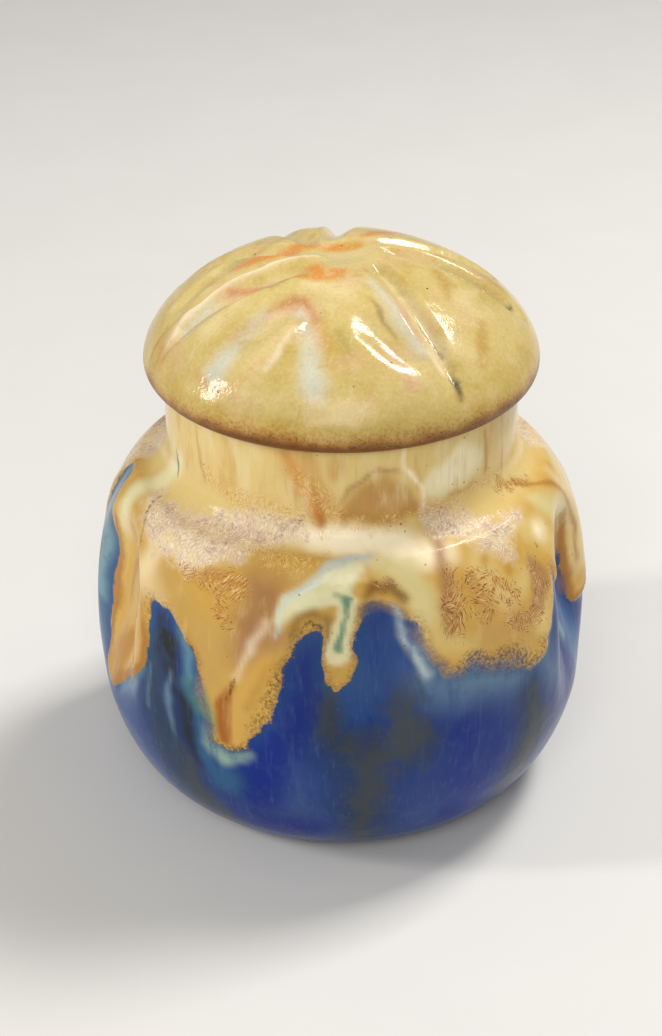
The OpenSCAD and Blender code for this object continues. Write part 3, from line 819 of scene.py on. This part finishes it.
def lid_drop(shape, direction, radius, z):
    """How far the folds and the sunk crown lower the lid."""
    s = shape
    folded = np.zeros_like(radius)
    for toward, passes, start, short, depth, right_w, left_w in FOLDS:
        off = np.radians(direction - toward)
        along, across = radius * np.cos(off), radius * np.sin(off) - passes * MM
        begun = soft_step((along - start * MM) / s.fold_fade)
        lasting = soft_step((s.lid_r - short * MM - radius) / s.fold_fade)
        side_w = np.where(across < 0, right_w, left_w) * MM
        pressed = depth * MM * begun * lasting * soft_step(1 - np.abs(across) / side_w)
        folded = np.maximum(folded, pressed)
    sunk = s.crown_sink * np.exp(-(radius / s.crown_sink_w) ** 2)
    return soft_step((z - s.rim_z - s.lid_edge) / s.fold_fade) * np.hypot(sunk, folded)


def pot_places(shape, outside, points, direction, z):
    """Measures on the pot's unrolled outside, in millimetres: from a stroke's point to every place.

    Directions count from the stroke's first point, so that a stroke may cross 0 degrees.
    """
    along = travel(outside) / MM
    here = np.interp(z, outside[:, 1], along)
    per_degree = math.radians(shape.belly_r / MM)
    stray_x, stray_y = wandering(points, POT_DRIFTS)

    def across(point, first):
        here_turn, point_turn = ((turn - first[0] + 180) % 360 - 180 for turn in (direction, point[0]))
        return (here_turn - point_turn) * per_degree + stray_x

    def up(point):
        return here - np.interp(point[1] * MM, outside[:, 1], along) + stray_y

    return across, up


def lid_places(shape, outside, points, direction, from_crown):
    """The same measures on the lid, whose dome is spread flat round its crown."""
    dome = outside[outside[:, 1] >= shape.rim_z + shape.lid_edge][::-1]
    dome_along = travel(dome) / MM
    turn = np.radians(direction)
    stray_x, stray_y = wandering(points, LID_DRIFTS)

    def far(point):
        return np.interp(point[1] * MM, dome[:, 0], dome_along)

    def across(point, first):
        return from_crown * np.cos(turn) - far(point) * math.cos(math.radians(point[0])) + stray_x

    def up(point):
        return from_crown * np.sin(turn) - far(point) * math.sin(math.radians(point[0])) + stray_y

    return across, up


def ochre_reach(inside, up):
    """How far inside the ochre glaze, with its runs and bays, each place lies, in millimetres."""
    run = up((0, RUN_EDGE))
    for stroke in all_round(RUNS.values()):
        run = joined(run, inside(stroke), RUN_MELT)
    for stroke in all_round(BAYS.values()):
        run = -joined(-run, inside(stroke), BAY_MELT)
    return run


def glaze_relief(inside, run, glaze):
    """Height of the glaze from its step, its rolled edge and its ridges, and the greatest height of all."""
    stepped = glaze.step * soft_step((run * MM + glaze.lip_out) / glaze.lip_w)
    rolled = glaze.roll * np.exp(-((run * MM - glaze.roll_in) / glaze.roll_w) ** 2)
    ridges = [height * MM * patch(inside, all_round([stroke]), RIDGE_SOFT) for stroke, height in RIDGES]
    tallest = max(height for stroke, height in RIDGES) * MM
    return stepped + rolled + np.max(ridges, axis=0), glaze.step + glaze.roll + tallest


def dress_pot(piece, shape, glaze):
    """Presses the flutes, lays the glaze on in relief and marks where each colour lies."""
    points, direction, radius = points_of(piece)
    z = points[:, 2]
    outside = body_outside(shape)
    skin = np.interp(z, outside[:, 1], outside[:, 0])
    outer = (z > shape.foot_h + NEAR) & (radius > skin - NEAR)
    inner = ~outer & (z > shape.floor_t + NEAR)
    across, up = pot_places(shape, outside, points, direction, z)
    inside = partial(within, across, up)

    run = ochre_reach(inside, up)
    relief, highest = glaze_relief(inside, run, glaze)
    faded = soft_step((z - shape.foot_h) / glaze.foot_fade) * soft_step((shape.rim_z - z) / glaze.rim_fade)
    sunk = (highest - glaze.proud - relief) * faded
    pressed = np.where(outer | inner, flute_press(shape, direction, z), 0)
    ripple = shape.throwing_ring * np.sin(np.radians(direction) + math.tau * z / shape.throwing_pitch)
    wavy = inner & (z < shape.rim_z - shape.throwing_top)
    new_radius = radius - pressed - np.where(outer, sunk, 0)
    new_radius = np.where(wavy, new_radius + ripple - shape.throwing_ring, new_radius)
    set_points(piece, direction, np.minimum(new_radius, shape.belly_r - glaze.margin), z)

    set_field(piece, "run", run)
    around = np.radians((direction - SEAM) % 360) * shape.belly_r
    up_wall = np.interp(z, outside[:, 1], travel(outside))
    set_vectors(piece, "unrolled", np.column_stack([around, up_wall, np.zeros_like(z)]))
    for name, strokes in MARKS.items():
        set_field(piece, name, reach(inside, all_round(strokes)))
    grounds = {"ochre_wash": (glaze.ochre, OCHRE_WASHES), "blue_wash": (glaze.cobalt, BLUE_WASHES)}
    for name, (ground, washes) in grounds.items():
        brushed = [(tint, soft, share, all_round(strokes)) for tint, soft, share, strokes in washes]
        set_colours(piece, name, washed(inside, np.tile(ground, (len(z), 1)), brushed, glaze))


def dress_lid(piece, shape, glaze):
    """Presses the folds and creases into the lid and marks where each colour lies."""
    points, direction, radius = points_of(piece)
    z = points[:, 2]
    outside = lid_outside(shape)
    skin = np.interp(z, outside[:, 1], outside[:, 0])
    outer = (z > shape.rim_z + NEAR) & (radius > skin - NEAR)
    along = travel(outside) / MM
    from_edge = np.interp(z, outside[:, 1], along)
    across, up = lid_places(shape, outside, points, direction, along[-1] - from_edge)
    inside = partial(within, across, up)

    lines = np.zeros_like(z)
    for stroke, height in LID_LINES:
        lines += height * MM * np.exp(np.minimum(inside(stroke), 0) / CREASE_SOFT)
    tallest = max(height for stroke, height in LID_LINES) * MM
    dome_share = soft_step((z - shape.rim_z - shape.lid_edge) / shape.fold_fade)
    folded = lid_drop(shape, direction, radius, z)
    lowered = z - folded - dome_share * (tallest - lines)
    set_points(piece, direction, radius, np.where(outer, lowered, z))

    set_field(piece, "edge", from_edge)
    hollow = soft_step(folded / MM / POOL_DEPTH)[:, None]
    straw, pool = np.array(glaze.lid_straw), np.array(glaze.lid_pool)
    ground = straw + POOL_SHARE * hollow * (pool - straw)
    set_colours(piece, "lid_wash", washed(inside, ground, LID_WASHES, glaze))


def give_materials(piece, materials, choose):
    """Sets a piece's materials; choose gives each face's material from the faces' middles and normals."""
    piece.data.materials.clear()
    for material in materials:
        piece.data.materials.append(material)
    faces = piece.data.polygons
    middles, normals = np.empty(len(faces) * 3), np.empty(len(faces) * 3)
    faces.foreach_get("center", middles)
    faces.foreach_get("normal", normals)
    chosen = choose(middles.reshape(-1, 3), normals.reshape(-1, 3))
    faces.foreach_set("material_index", np.asarray(chosen, np.int32))


class Nodes:
    """Adds the nodes of one material, so that a recipe reads layer by layer."""

    def __init__(self, name):
        self.material = bpy.data.materials.new(name)
        self.material.use_nodes = True
        self.tree = self.material.node_tree
        self.shader = self.tree.nodes["Principled BSDF"]
        self.place = self.add("ShaderNodeTexCoord").outputs["Object"]

    def add(self, kind, inputs=(), **settings):
        node = self.tree.nodes.new(kind)
        for setting, value in settings.items():
            setattr(node, setting, value)
        for socket, value in dict(inputs).items():
            self.feed(node.inputs[socket], value)
        return node

    def feed(self, socket, value):
        if isinstance(value, bpy.types.NodeSocket):
            self.tree.links.new(value, socket)
        elif socket.type == "RGBA":
            socket.default_value = (*value, 1.0)
        else:
            socket.default_value = value

    def field(self, name):
        return self.add("ShaderNodeAttribute", attribute_name=name).outputs["Fac"]

    def painted(self, name):
        return self.add("ShaderNodeAttribute", attribute_name=name).outputs["Color"]

    def scaled(self, place, size, stretch=1.0):
        """Object coordinates in which a feature of that size, and that much taller, measures 1."""
        scale = (1 / size, 1 / size, 1 / (size * stretch))
        return self.add("ShaderNodeMapping", {"Vector": place, "Scale": scale}).outputs["Vector"]

    def noise(self, size, stretch=1.0, detail=2.0, roughness=0.5):
        inputs = {"Vector": self.scaled(self.place, size, stretch), "Scale": 1.0, "Detail": detail,
                  "Roughness": roughness}
        return self.add("ShaderNodeTexNoise", inputs).outputs["Fac"]

    def needles(self, cluster, width, long, start=0.0):
        """Fine needles that lie in the surface together in clusters, each cluster turned its own way."""
        fray_size, fray_by = 0.4 * cluster, 0.6 * cluster
        fray = self.add("ShaderNodeTexNoise", {"Vector": self.scaled(self.place, fray_size), "Scale": 1.0})
        loose = self.add("ShaderNodeVectorMath",
                         {0: fray.outputs["Color"], 1: (fray_by,) * 3, 2: self.place},
                         operation="MULTIPLY_ADD").outputs[0]
        cells = self.add("ShaderNodeTexVoronoi", {"Vector": self.scaled(loose, cluster), "Scale": 1.0})
        chance = self.add("ShaderNodeSeparateXYZ", {0: cells.outputs["Color"]}).outputs["X"]
        unrolled = self.add("ShaderNodeAttribute", attribute_name="unrolled").outputs["Vector"]
        turned = self.add("ShaderNodeVectorRotate",
                          {"Vector": unrolled, "Angle": self.math("MULTIPLY", chance, math.tau),
                           "Center": (start, start, 0)}, rotation_type="Z_AXIS").outputs["Vector"]
        drawn = self.add("ShaderNodeMapping", {"Vector": turned, "Scale": (1 / width, 1 / long, 1)})
        inputs = {"Vector": drawn.outputs["Vector"], "Scale": 1.0, "Detail": 1.0}
        return self.add("ShaderNodeTexNoise", inputs).outputs["Fac"]

    def pinholes(self, gap, size):
        """Small round marks, with a strength of 1 at their middle."""
        cells = self.add("ShaderNodeTexVoronoi", {"Vector": self.scaled(self.place, gap), "Scale": 1.0})
        return self.fade(cells.outputs["Distance"], size / gap, 0.4 * size / gap)

    def math(self, operation, *values):
        node = self.add("ShaderNodeMath", dict(enumerate(values)), operation=operation)
        return node.outputs[0]

    def fade(self, value, low, high):
        """A soft step from 0 at low to 1 at high."""
        inputs = {"Value": value, "From Min": low, "From Max": high}
        return self.add("ShaderNodeMapRange", inputs, interpolation_type="SMOOTHSTEP").outputs["Result"]

    def cover(self, name, texture, wobble, soft):
        """Share of a patch whose edge wobbles with a texture and is soft, both in millimetres."""
        return self.fade(self.shifted(self.field(name), texture, wobble), -soft, soft)

    def shifted(self, value, texture, by):
        """A value moved up and down with a texture, by that much from its darkest to its brightest."""
        return self.math("MULTIPLY_ADD", self.math("SUBTRACT", texture, 0.5), by, value)

    def part(self, *shares):
        """Product of several shares."""
        product = shares[0]
        for share in shares[1:]:
            product = self.math("MULTIPLY", product, share)
        return product

    def mix(self, share, under, over):
        """A colour laid over another by a share; 6, 7 and 2 are the Mix node's colour sockets."""
        node = self.add("ShaderNodeMix", {0: share, 6: under, 7: over}, data_type="RGBA")
        return node.outputs[2]

    def blend(self, share, low, high):
        """A number between two others by a share; 2, 3 and 0 are the Mix node's number sockets."""
        node = self.add("ShaderNodeMix", {0: share, 2: low, 3: high}, data_type="FLOAT")
        return node.outputs[0]

    def layers(self, ground, *coats):
        """A ground under coats, each with its share and its colour."""
        for share, over in coats:
            ground = self.mix(share, ground, over)
        return ground

    def finish(self, base, roughness, height, depth, specular=0.3):
        """The material, with its colour, its roughness and a bump of that depth."""
        bump = self.add("ShaderNodeBump", {"Height": height, "Strength": 1.0, "Distance": depth})
        self.shader.inputs["Specular IOR Level"].default_value = specular
        self.feed(self.shader.inputs["Base Color"], base)
        self.feed(self.shader.inputs["Roughness"], roughness)
        self.feed(self.shader.inputs["Normal"], bump.outputs["Normal"])
        return self.material


def pot_glaze(tint):
    """A crystalline ochre glaze that has run down over a satin cobalt one."""
    n = Nodes("pot_glaze")
    cloud = n.noise(6 * MM, detail=4, roughness=0.55)
    patchy = n.noise(3 * MM, detail=4, roughness=0.6)
    grain = n.noise(0.7 * MM, detail=4, roughness=0.65)
    speck = n.noise(0.4 * MM, detail=1)
    hair = n.noise(0.5 * MM, stretch=3, detail=3, roughness=0.6)
    streak = n.noise(2.5 * MM, stretch=8, detail=4, roughness=0.6)
    brushed = n.noise(0.6 * MM, stretch=16, detail=2)
    veil = n.noise(5 * MM, stretch=4, detail=4, roughness=0.55)
    fine = n.needles(2.4 * MM, 0.16 * MM, 1.4 * MM)
    fine_lit = n.needles(2.8 * MM, 0.18 * MM, 1.7 * MM, start=0.1)
    needle = n.needles(3 * MM, 0.24 * MM, 2.2 * MM, start=0.2)
    needle_lit = n.needles(3.8 * MM, 0.28 * MM, 3 * MM, start=0.3)

    speckled = n.cover("speckled", cloud, 2, 1.5)
    melting = n.cover("melting", cloud, 2, 1.5)
    clean = n.cover("clean", cloud, 2, 1)
    smoky = n.cover("smoky", patchy, 12, 4)
    edge = n.shifted(n.field("run"), patchy, 1.6)
    frayed = n.shifted(n.shifted(edge, hair, 1.0), speck, n.blend(speckled, 0.6, 5.0))
    width = n.blend(melting, 0.25, 3)
    ochre_share = n.fade(n.math("DIVIDE", frayed, width), -1, 1)

    blue = n.layers(
        n.painted("blue_wash"),
        (n.part(n.fade(streak, 0.54, 0.78), 0.15), tint.haze),
        (n.part(n.fade(streak, 0.46, 0.25), 0.35), tint.ultramarine),
        (n.part(n.fade(brushed, 0.56, 0.75), 0.1), tint.haze),
        (n.part(n.fade(edge, -3.5, -0.2), 0.25), tint.teal),
        (n.part(n.fade(patchy, 0.52, 0.66), 0.25), tint.azure),
        (n.part(smoky, 0.95), tint.smoke),
        (n.part(smoky, n.fade(grain, 0.5, 0.7), 0.3), tint.umber),
        (n.part(n.fade(n.pinholes(3 * MM, 0.28 * MM), 0.4, 1), n.fade(cloud, 0.55, 0.6), 0.8), tint.soot),
        (n.part(speckled, n.fade(edge, -5, 0), n.fade(speck, 0.5, 0.65), 0.6), tint.smoke),
    )

    crystal = n.cover("crystal", patchy, 8, 2.2)
    sand = n.cover("sand", patchy, 5, 1.5)
    neck = n.cover("neck", patchy, 4, 2)
    golden = n.fade(n.shifted(n.shifted(n.field("gold"), needle, 7), patchy, 5), -0.2, 0.9)
    scorched = n.fade(n.shifted(n.shifted(n.field("scorch"), needle, 9), patchy, 6), 0, 1)
    rough_edge = n.blend(clean, n.blend(speckled, 0.4, 0.9), 0)
    iron_band = n.fade(frayed, n.blend(speckled, 2.4, 5), 0.3)
    ochre = n.layers(
        n.painted("ochre_wash"),
        (n.part(n.fade(streak, 0.52, 0.75), 0.3), tint.straw),
        (n.part(n.fade(cloud, 0.48, 0.3), 0.14), tint.tan),
        (n.part(neck, n.fade(veil, 0.5, 0.64), 0.6), tint.lid_cream),
        (n.part(neck, n.fade(veil, 0.46, 0.34), 0.5), tint.sienna),
        (n.part(neck, n.fade(brushed, 0.55, 0.7), 0.12), tint.amber),
        # Crystal mat: a ground with painted glints and painted shade on its needles
        (n.part(crystal, 0.85), tint.blush),
        (n.part(crystal, n.fade(patchy, 0.5, 0.62), 0.75), tint.rose),
        (n.part(crystal, n.fade(patchy, 0.46, 0.36), 0.6), tint.gold_pale_and_glint),
        (n.part(crystal, n.fade(fine, 0.5, 0.68), 0.5), tint.blush_shade),
        (n.part(crystal, n.fade(fine_lit, 0.48, 0.64), 0.7), tint.blush_glint),
        # Sandy crystals, with painted glints on their needles
        (n.part(sand, n.fade(fine, 0.45, 0.6), 0.7), tint.gold),
        (n.part(sand, n.fade(fine_lit, 0.5, 0.62), 0.7), tint.gold_pale_and_glint),
        # Gold and scorched crystals, with painted glints on their needles
        (n.part(golden, 0.7), tint.gold),
        (n.part(golden, n.fade(needle, 0.49, 0.66), 0.85), tint.rust),
        (n.part(golden, n.fade(needle_lit, 0.5, 0.66), 0.75), tint.gold_pale_and_glint),
        (n.part(scorched, 0.7), tint.scorch),
        (n.part(scorched, n.fade(needle, 0.49, 0.66), 0.75), tint.brown),
        (n.part(scorched, n.fade(needle_lit, 0.5, 0.66), 0.6), tint.gold_pale_and_glint),
        (n.part(iron_band, n.fade(grain, 0.42, 0.6), rough_edge), tint.brown),
        (n.part(n.fade(frayed, 3.2, 1.2), n.blend(clean, 0, 0.85)), tint.amber),
        (n.part(n.fade(frayed, 1.0, 0.0), n.fade(speck, 0.5, 0.62), rough_edge, 0.8), tint.umber),
        (n.part(n.cover("iron", grain, 1.6, 0.35), 0.8), tint.umber),
        (n.part(n.pinholes(2.2 * MM, 0.3 * MM), n.fade(patchy, 0.53, 0.58), 0.7), tint.brown),
    )

    base = n.mix(ochre_share, blue, ochre)
    matted = n.math("MAXIMUM", crystal, golden)
    gloss = n.blend(matted, 0.14, 0.3)
    satin = n.blend(streak, 0.16, 0.28)
    roughness = n.blend(ochre_share, satin, gloss)
    grainy = n.math("MULTIPLY_ADD", grain, 0.06, n.part(matted, fine, 0.3))
    height = n.math("ADD", cloud, grainy)
    return n.finish(base, roughness, height, 0.22 * MM, specular=0.2)


def lid_glaze(tint):
    """A thin straw glaze that breaks to orange, pink and grey-blue in the folds."""
    n = Nodes("lid_glaze")
    cloud = n.noise(5 * MM, detail=4, roughness=0.55)
    grain = n.noise(0.7 * MM, detail=4, roughness=0.65)
    speck = n.noise(0.4 * MM, detail=1)
    blotch = n.noise(9 * MM, detail=3)
    edge = n.shifted(n.field("edge"), cloud, 4)
    pins = n.part(n.pinholes(2.4 * MM, 0.3 * MM), n.fade(n.noise(3 * MM), 0.6, 0.64))
    base = n.layers(
        n.painted("lid_wash"),
        (n.part(n.fade(blotch, 0.52, 0.66), 0.3), tint.lid_pink),
        (n.part(n.fade(cloud, 0.52, 0.72), 0.4), tint.lid_cream),
        (n.part(n.fade(cloud, 0.48, 0.3), 0.45), tint.lid_khaki),
        (n.part(n.fade(grain, 0.5, 0.7), 0.3), tint.lid_khaki),
        (n.part(n.fade(grain, 0.5, 0.32), 0.3), tint.lid_cream),
        (n.part(n.fade(edge, 13, 6), 0.6), tint.lid_khaki),
        (n.part(n.fade(edge, 10, 4), n.fade(grain, 0.46, 0.6), 0.7), tint.amber),
        (n.part(n.fade(edge, 7.5, 4.2), 0.8), tint.amber),
        (n.part(n.fade(edge, 6, 3), 0.95), tint.rim_brown),
        (n.part(n.fade(edge, 8, 3.5), n.fade(speck, 0.56, 0.66), 0.8), tint.umber),
        (n.part(pins, 0.8), tint.umber),
    )
    roughness = n.blend(n.fade(edge, 8, 4), n.blend(cloud, 0.12, 0.22), 0.36)
    grainy = n.math("MULTIPLY_ADD", grain, 0.08, n.part(pins, -0.6))
    height = n.math("MULTIPLY_ADD", cloud, 1.2, grainy)
    return n.finish(base, roughness, height, 0.2 * MM)


def bare_clay(tint):
    """Unglazed stoneware with iron specks and toasted patches."""
    n = Nodes("bare_clay")
    cloud = n.noise(7 * MM, detail=4)
    grain = n.noise(0.5 * MM, detail=4, roughness=0.7)
    specks = n.part(n.pinholes(1.3 * MM, 0.3 * MM), n.fade(n.noise(2 * MM), 0.5, 0.6))
    base = n.layers(
        n.mix(n.fade(cloud, 0.4, 0.65), tint.clay, tint.clay_dark),
        (n.part(n.fade(grain, 0.5, 0.8), 0.4), tint.clay_dark),
        (specks, tint.umber),
    )
    return n.finish(base, n.blend(grain, 0.7, 0.9), grain, 0.12 * MM)


def liner_glaze(tint):
    """The glossy straw glaze poured into the pot."""
    n = Nodes("liner_glaze")
    cloud = n.noise(6 * MM, detail=4)
    grain = n.noise(0.8 * MM, detail=3)
    base = n.layers(
        n.mix(n.fade(cloud, 0.35, 0.65), tint.straw, tint.tan),
        (n.part(n.fade(grain, 0.6, 0.75), 0.3), tint.rust),
    )
    return n.finish(base, n.blend(cloud, 0.14, 0.26), cloud, 0.15 * MM)


def pale_floor(stage):
    """A plain matt floor with a faint grain."""
    n = Nodes("pale_floor")
    grain = n.noise(30 * MM, detail=3)
    base = n.mix(grain, stage.floor, stage.floor_grain)
    return n.finish(base, n.blend(grain, 0.6, 0.7), grain, 0.01 * MM)


class JAR_OT_pot(Operator):
    """Throw the pot, press its flutes and lay on the glazes"""

    bl_idname = "jar.pot"
    bl_label = "Pot"

    def execute(self, context):
        s, glaze = context.scene.jar_shape, context.scene.jar_glaze
        outside, hollow = body_outside(s), body_inside(s)
        ring_r, mouth_r = s.foot_r - s.foot_ring_w, s.neck_r - s.neck_wall
        land = [outside[-1], (mouth_r + s.rim_chamfer, s.rim_z), (mouth_r, s.rim_z - s.rim_chamfer)]
        corner, chamfer = s.foot_round, s.foot_chamfer
        outline = spaced([
            ([(0, s.foot_recess), (ring_r - corner, s.foot_recess)], s.flat_gap),
            (arc((ring_r - corner, s.foot_recess - corner), corner, corner, 90, 0), corner / 2),
            ([(ring_r, chamfer), (ring_r + chamfer, 0), (s.foot_r - chamfer, 0)], s.inside_gap),
            ([(s.foot_r - chamfer, 0), (s.foot_r, s.foot_edge), outside[0]], chamfer),
            (outside, s.ring_gap),
            (land[:2], s.rim_round),
            (land[1:], s.rim_chamfer),
            ([land[-1], hollow[0]], s.inside_gap),
            (hollow, s.inside_gap),
            ([hollow[-1], (0, s.floor_t)], s.flat_gap),
        ])
        piece = throw("glazed_pot", outline, s.pot_steps)
        dress_pot(piece, s, glaze)

        def choose(middles, normals):
            radius, z = np.hypot(middles[:, 0], middles[:, 1]), middles[:, 2]
            facing_out = (middles[:, :2] * normals[:, :2]).sum(axis=1) > 0
            wall_r = np.interp(z, outside[:, 1], outside[:, 0]) - s.wall / 2 - s.flute_depth
            bare_rim = (z > s.rim_z - s.rim_bare) & (radius < s.neck_r - s.rim_round)
            coated = np.where(facing_out & (radius > wall_r), GLAZED, LINED)
            return np.where((z < s.foot_h) | bare_rim, BARE, coated)

        give_materials(piece, [pot_glaze(glaze), bare_clay(glaze), liner_glaze(glaze)], choose)
        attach(piece, "pot")
        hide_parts("pot")
        return {"FINISHED"}


class JAR_OT_lid(Operator):
    """Throw the lid, press its folds and glaze it"""

    bl_idname = "jar.lid"
    bl_label = "Lid"

    def execute(self, context):
        s, glaze = context.scene.jar_shape, context.scene.jar_glaze
        outside = lid_outside(s)
        flange_r = s.neck_r - s.neck_wall - s.flange_play
        hollow_r = flange_r - s.flange_wall
        wide_z = s.rim_z + s.lid_edge
        deepest = math.hypot(s.crown_sink, max(depth for *_, depth, right_w, left_w in FOLDS) * MM)
        top_z, spring_z = wide_z + s.lid_rise - deepest - s.lid_wall, wide_z + s.lid_wall
        rise = top_z - spring_z
        ball_r = (hollow_r ** 2 + rise ** 2) / (2 * rise)
        half_turn = math.degrees(math.asin(hollow_r / ball_r))
        ease, low_z = s.flange_ease, s.flange_low_z
        outline = spaced([
            (arc((0, top_z - ball_r), ball_r, ball_r, 90, 90 - half_turn), s.inside_gap),
            ([(hollow_r, spring_z), (hollow_r, low_z + ease)], s.inside_gap),
            (arc((hollow_r + ease, low_z + ease), ease, ease, 180, 270), ease / 2),
            ([(hollow_r + ease, low_z), (flange_r - ease, low_z)], s.inside_gap),
            (arc((flange_r - ease, low_z + ease), ease, ease, 270, 360), ease / 2),
            ([(flange_r, low_z + ease), (flange_r, s.rim_z)], s.inside_gap),
            ([(flange_r, s.rim_z), outside[0]], s.inside_gap),
            (outside, s.dome_gap),
        ])
        piece = throw("glazed_lid", outline, s.lid_steps)
        dress_lid(piece, s, glaze)

        def choose(middles, normals):
            wide = np.hypot(middles[:, 0], middles[:, 1]) > hollow_r + s.flange_wall / 2
            glazed = (middles[:, 2] > s.rim_z + s.lid_bare) & (wide | (normals[:, 2] > 0))
            return np.where(glazed, GLAZED, BARE)

        give_materials(piece, [lid_glaze(glaze), bare_clay(glaze)], choose)
        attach(piece, "lid")
        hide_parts("lid")
        return {"FINISHED"}


class JAR_OT_stage(Operator):
    """Set the floor, the lights and the camera"""

    bl_idname = "jar.stage"
    bl_label = "Stage"

    def execute(self, context):
        stage = context.scene.jar_stage
        self.floor(stage)
        for name, (place, size, power) in LAMPS.items():
            self.light(name, place, size, power, stage.lamp_aim_z)
        self.camera(context, stage)
        world = bpy.data.worlds.new("even_light")
        world.use_nodes = True
        sky = world.node_tree.nodes["Background"]
        sky.inputs["Color"].default_value = (1, 1, 1, 1)
        sky.inputs["Strength"].default_value = stage.sky_level
        context.scene.world = world
        context.scene.view_settings.view_transform = "Standard"
        return {"FINISHED"}

    def floor(self, stage):
        bpy.ops.object.select_all(action="DESELECT")
        bpy.ops.mesh.primitive_plane_add(size=stage.floor_size, location=(0, 0, 0))
        floor = bpy.context.object
        floor.name = "floor"
        floor.data.materials.append(pale_floor(stage))

    def light(self, name, place, size, power, aim_z):
        bpy.ops.object.light_add(type="AREA", location=place)
        lamp = bpy.context.object
        lamp.name = name
        lamp.data.shape = "RECTANGLE"
        lamp.data.size, lamp.data.size_y = size
        lamp.data.energy = power
        away = lamp.location.copy()
        away.z -= aim_z
        lamp.rotation_euler = away.to_track_quat("Z", "Y").to_euler()

    def camera(self, context, stage):
        back = stage.distance * math.cos(stage.tilt)
        rise = stage.distance * math.sin(stage.tilt)
        bpy.ops.object.camera_add(location=(0, -back, stage.target_z + rise),
                                  rotation=(math.pi / 2 - stage.tilt, 0, 0))
        camera = bpy.context.object
        camera.name = "camera"
        wide, tall = PHOTO_SIZE
        focal_px = stage.pixels_per_mm * stage.distance / MM
        camera.data.sensor_fit = "AUTO"
        camera.data.lens = camera.data.sensor_width * focal_px / tall
        camera.data.shift_x = (wide / 2 - stage.target_x_px) / tall
        camera.data.shift_y = (stage.target_y_px - tall / 2) / tall
        context.scene.camera = camera


class JAR_PT_panel(Panel):
    """Lists the jar's pieces and sizes"""

    bl_idname = "JAR_PT_panel"
    bl_label = "Lidded Jar"
    bl_space_type = "VIEW_3D"
    bl_region_type = "UI"
    bl_category = "Jar"

    def draw(self, context):
        for maker in (JAR_OT_pot, JAR_OT_lid, JAR_OT_stage):
            self.layout.operator(maker.bl_idname)
        for group in (context.scene.jar_shape, context.scene.jar_glaze, context.scene.jar_stage):
            box = self.layout.box()
            for name in group.__annotations__:
                box.prop(group, name)


CLASSES = (JarShape, JarGlaze, JarStage, JAR_OT_pot, JAR_OT_lid, JAR_OT_stage, JAR_PT_panel)


def register():
    for item in CLASSES:
        bpy.utils.register_class(item)
    bpy.types.Scene.jar_shape = PointerProperty(type=JarShape)
    bpy.types.Scene.jar_glaze = PointerProperty(type=JarGlaze)
    bpy.types.Scene.jar_stage = PointerProperty(type=JarStage)


def unregister():
    del bpy.types.Scene.jar_stage
    del bpy.types.Scene.jar_glaze
    del bpy.types.Scene.jar_shape
    for item in reversed(CLASSES):
        bpy.utils.unregister_class(item)


def main():
    register()
    bpy.ops.jar.stage()
    bpy.ops.jar.pot()
    bpy.ops.jar.lid()


if __name__ == "__main__":
    main()
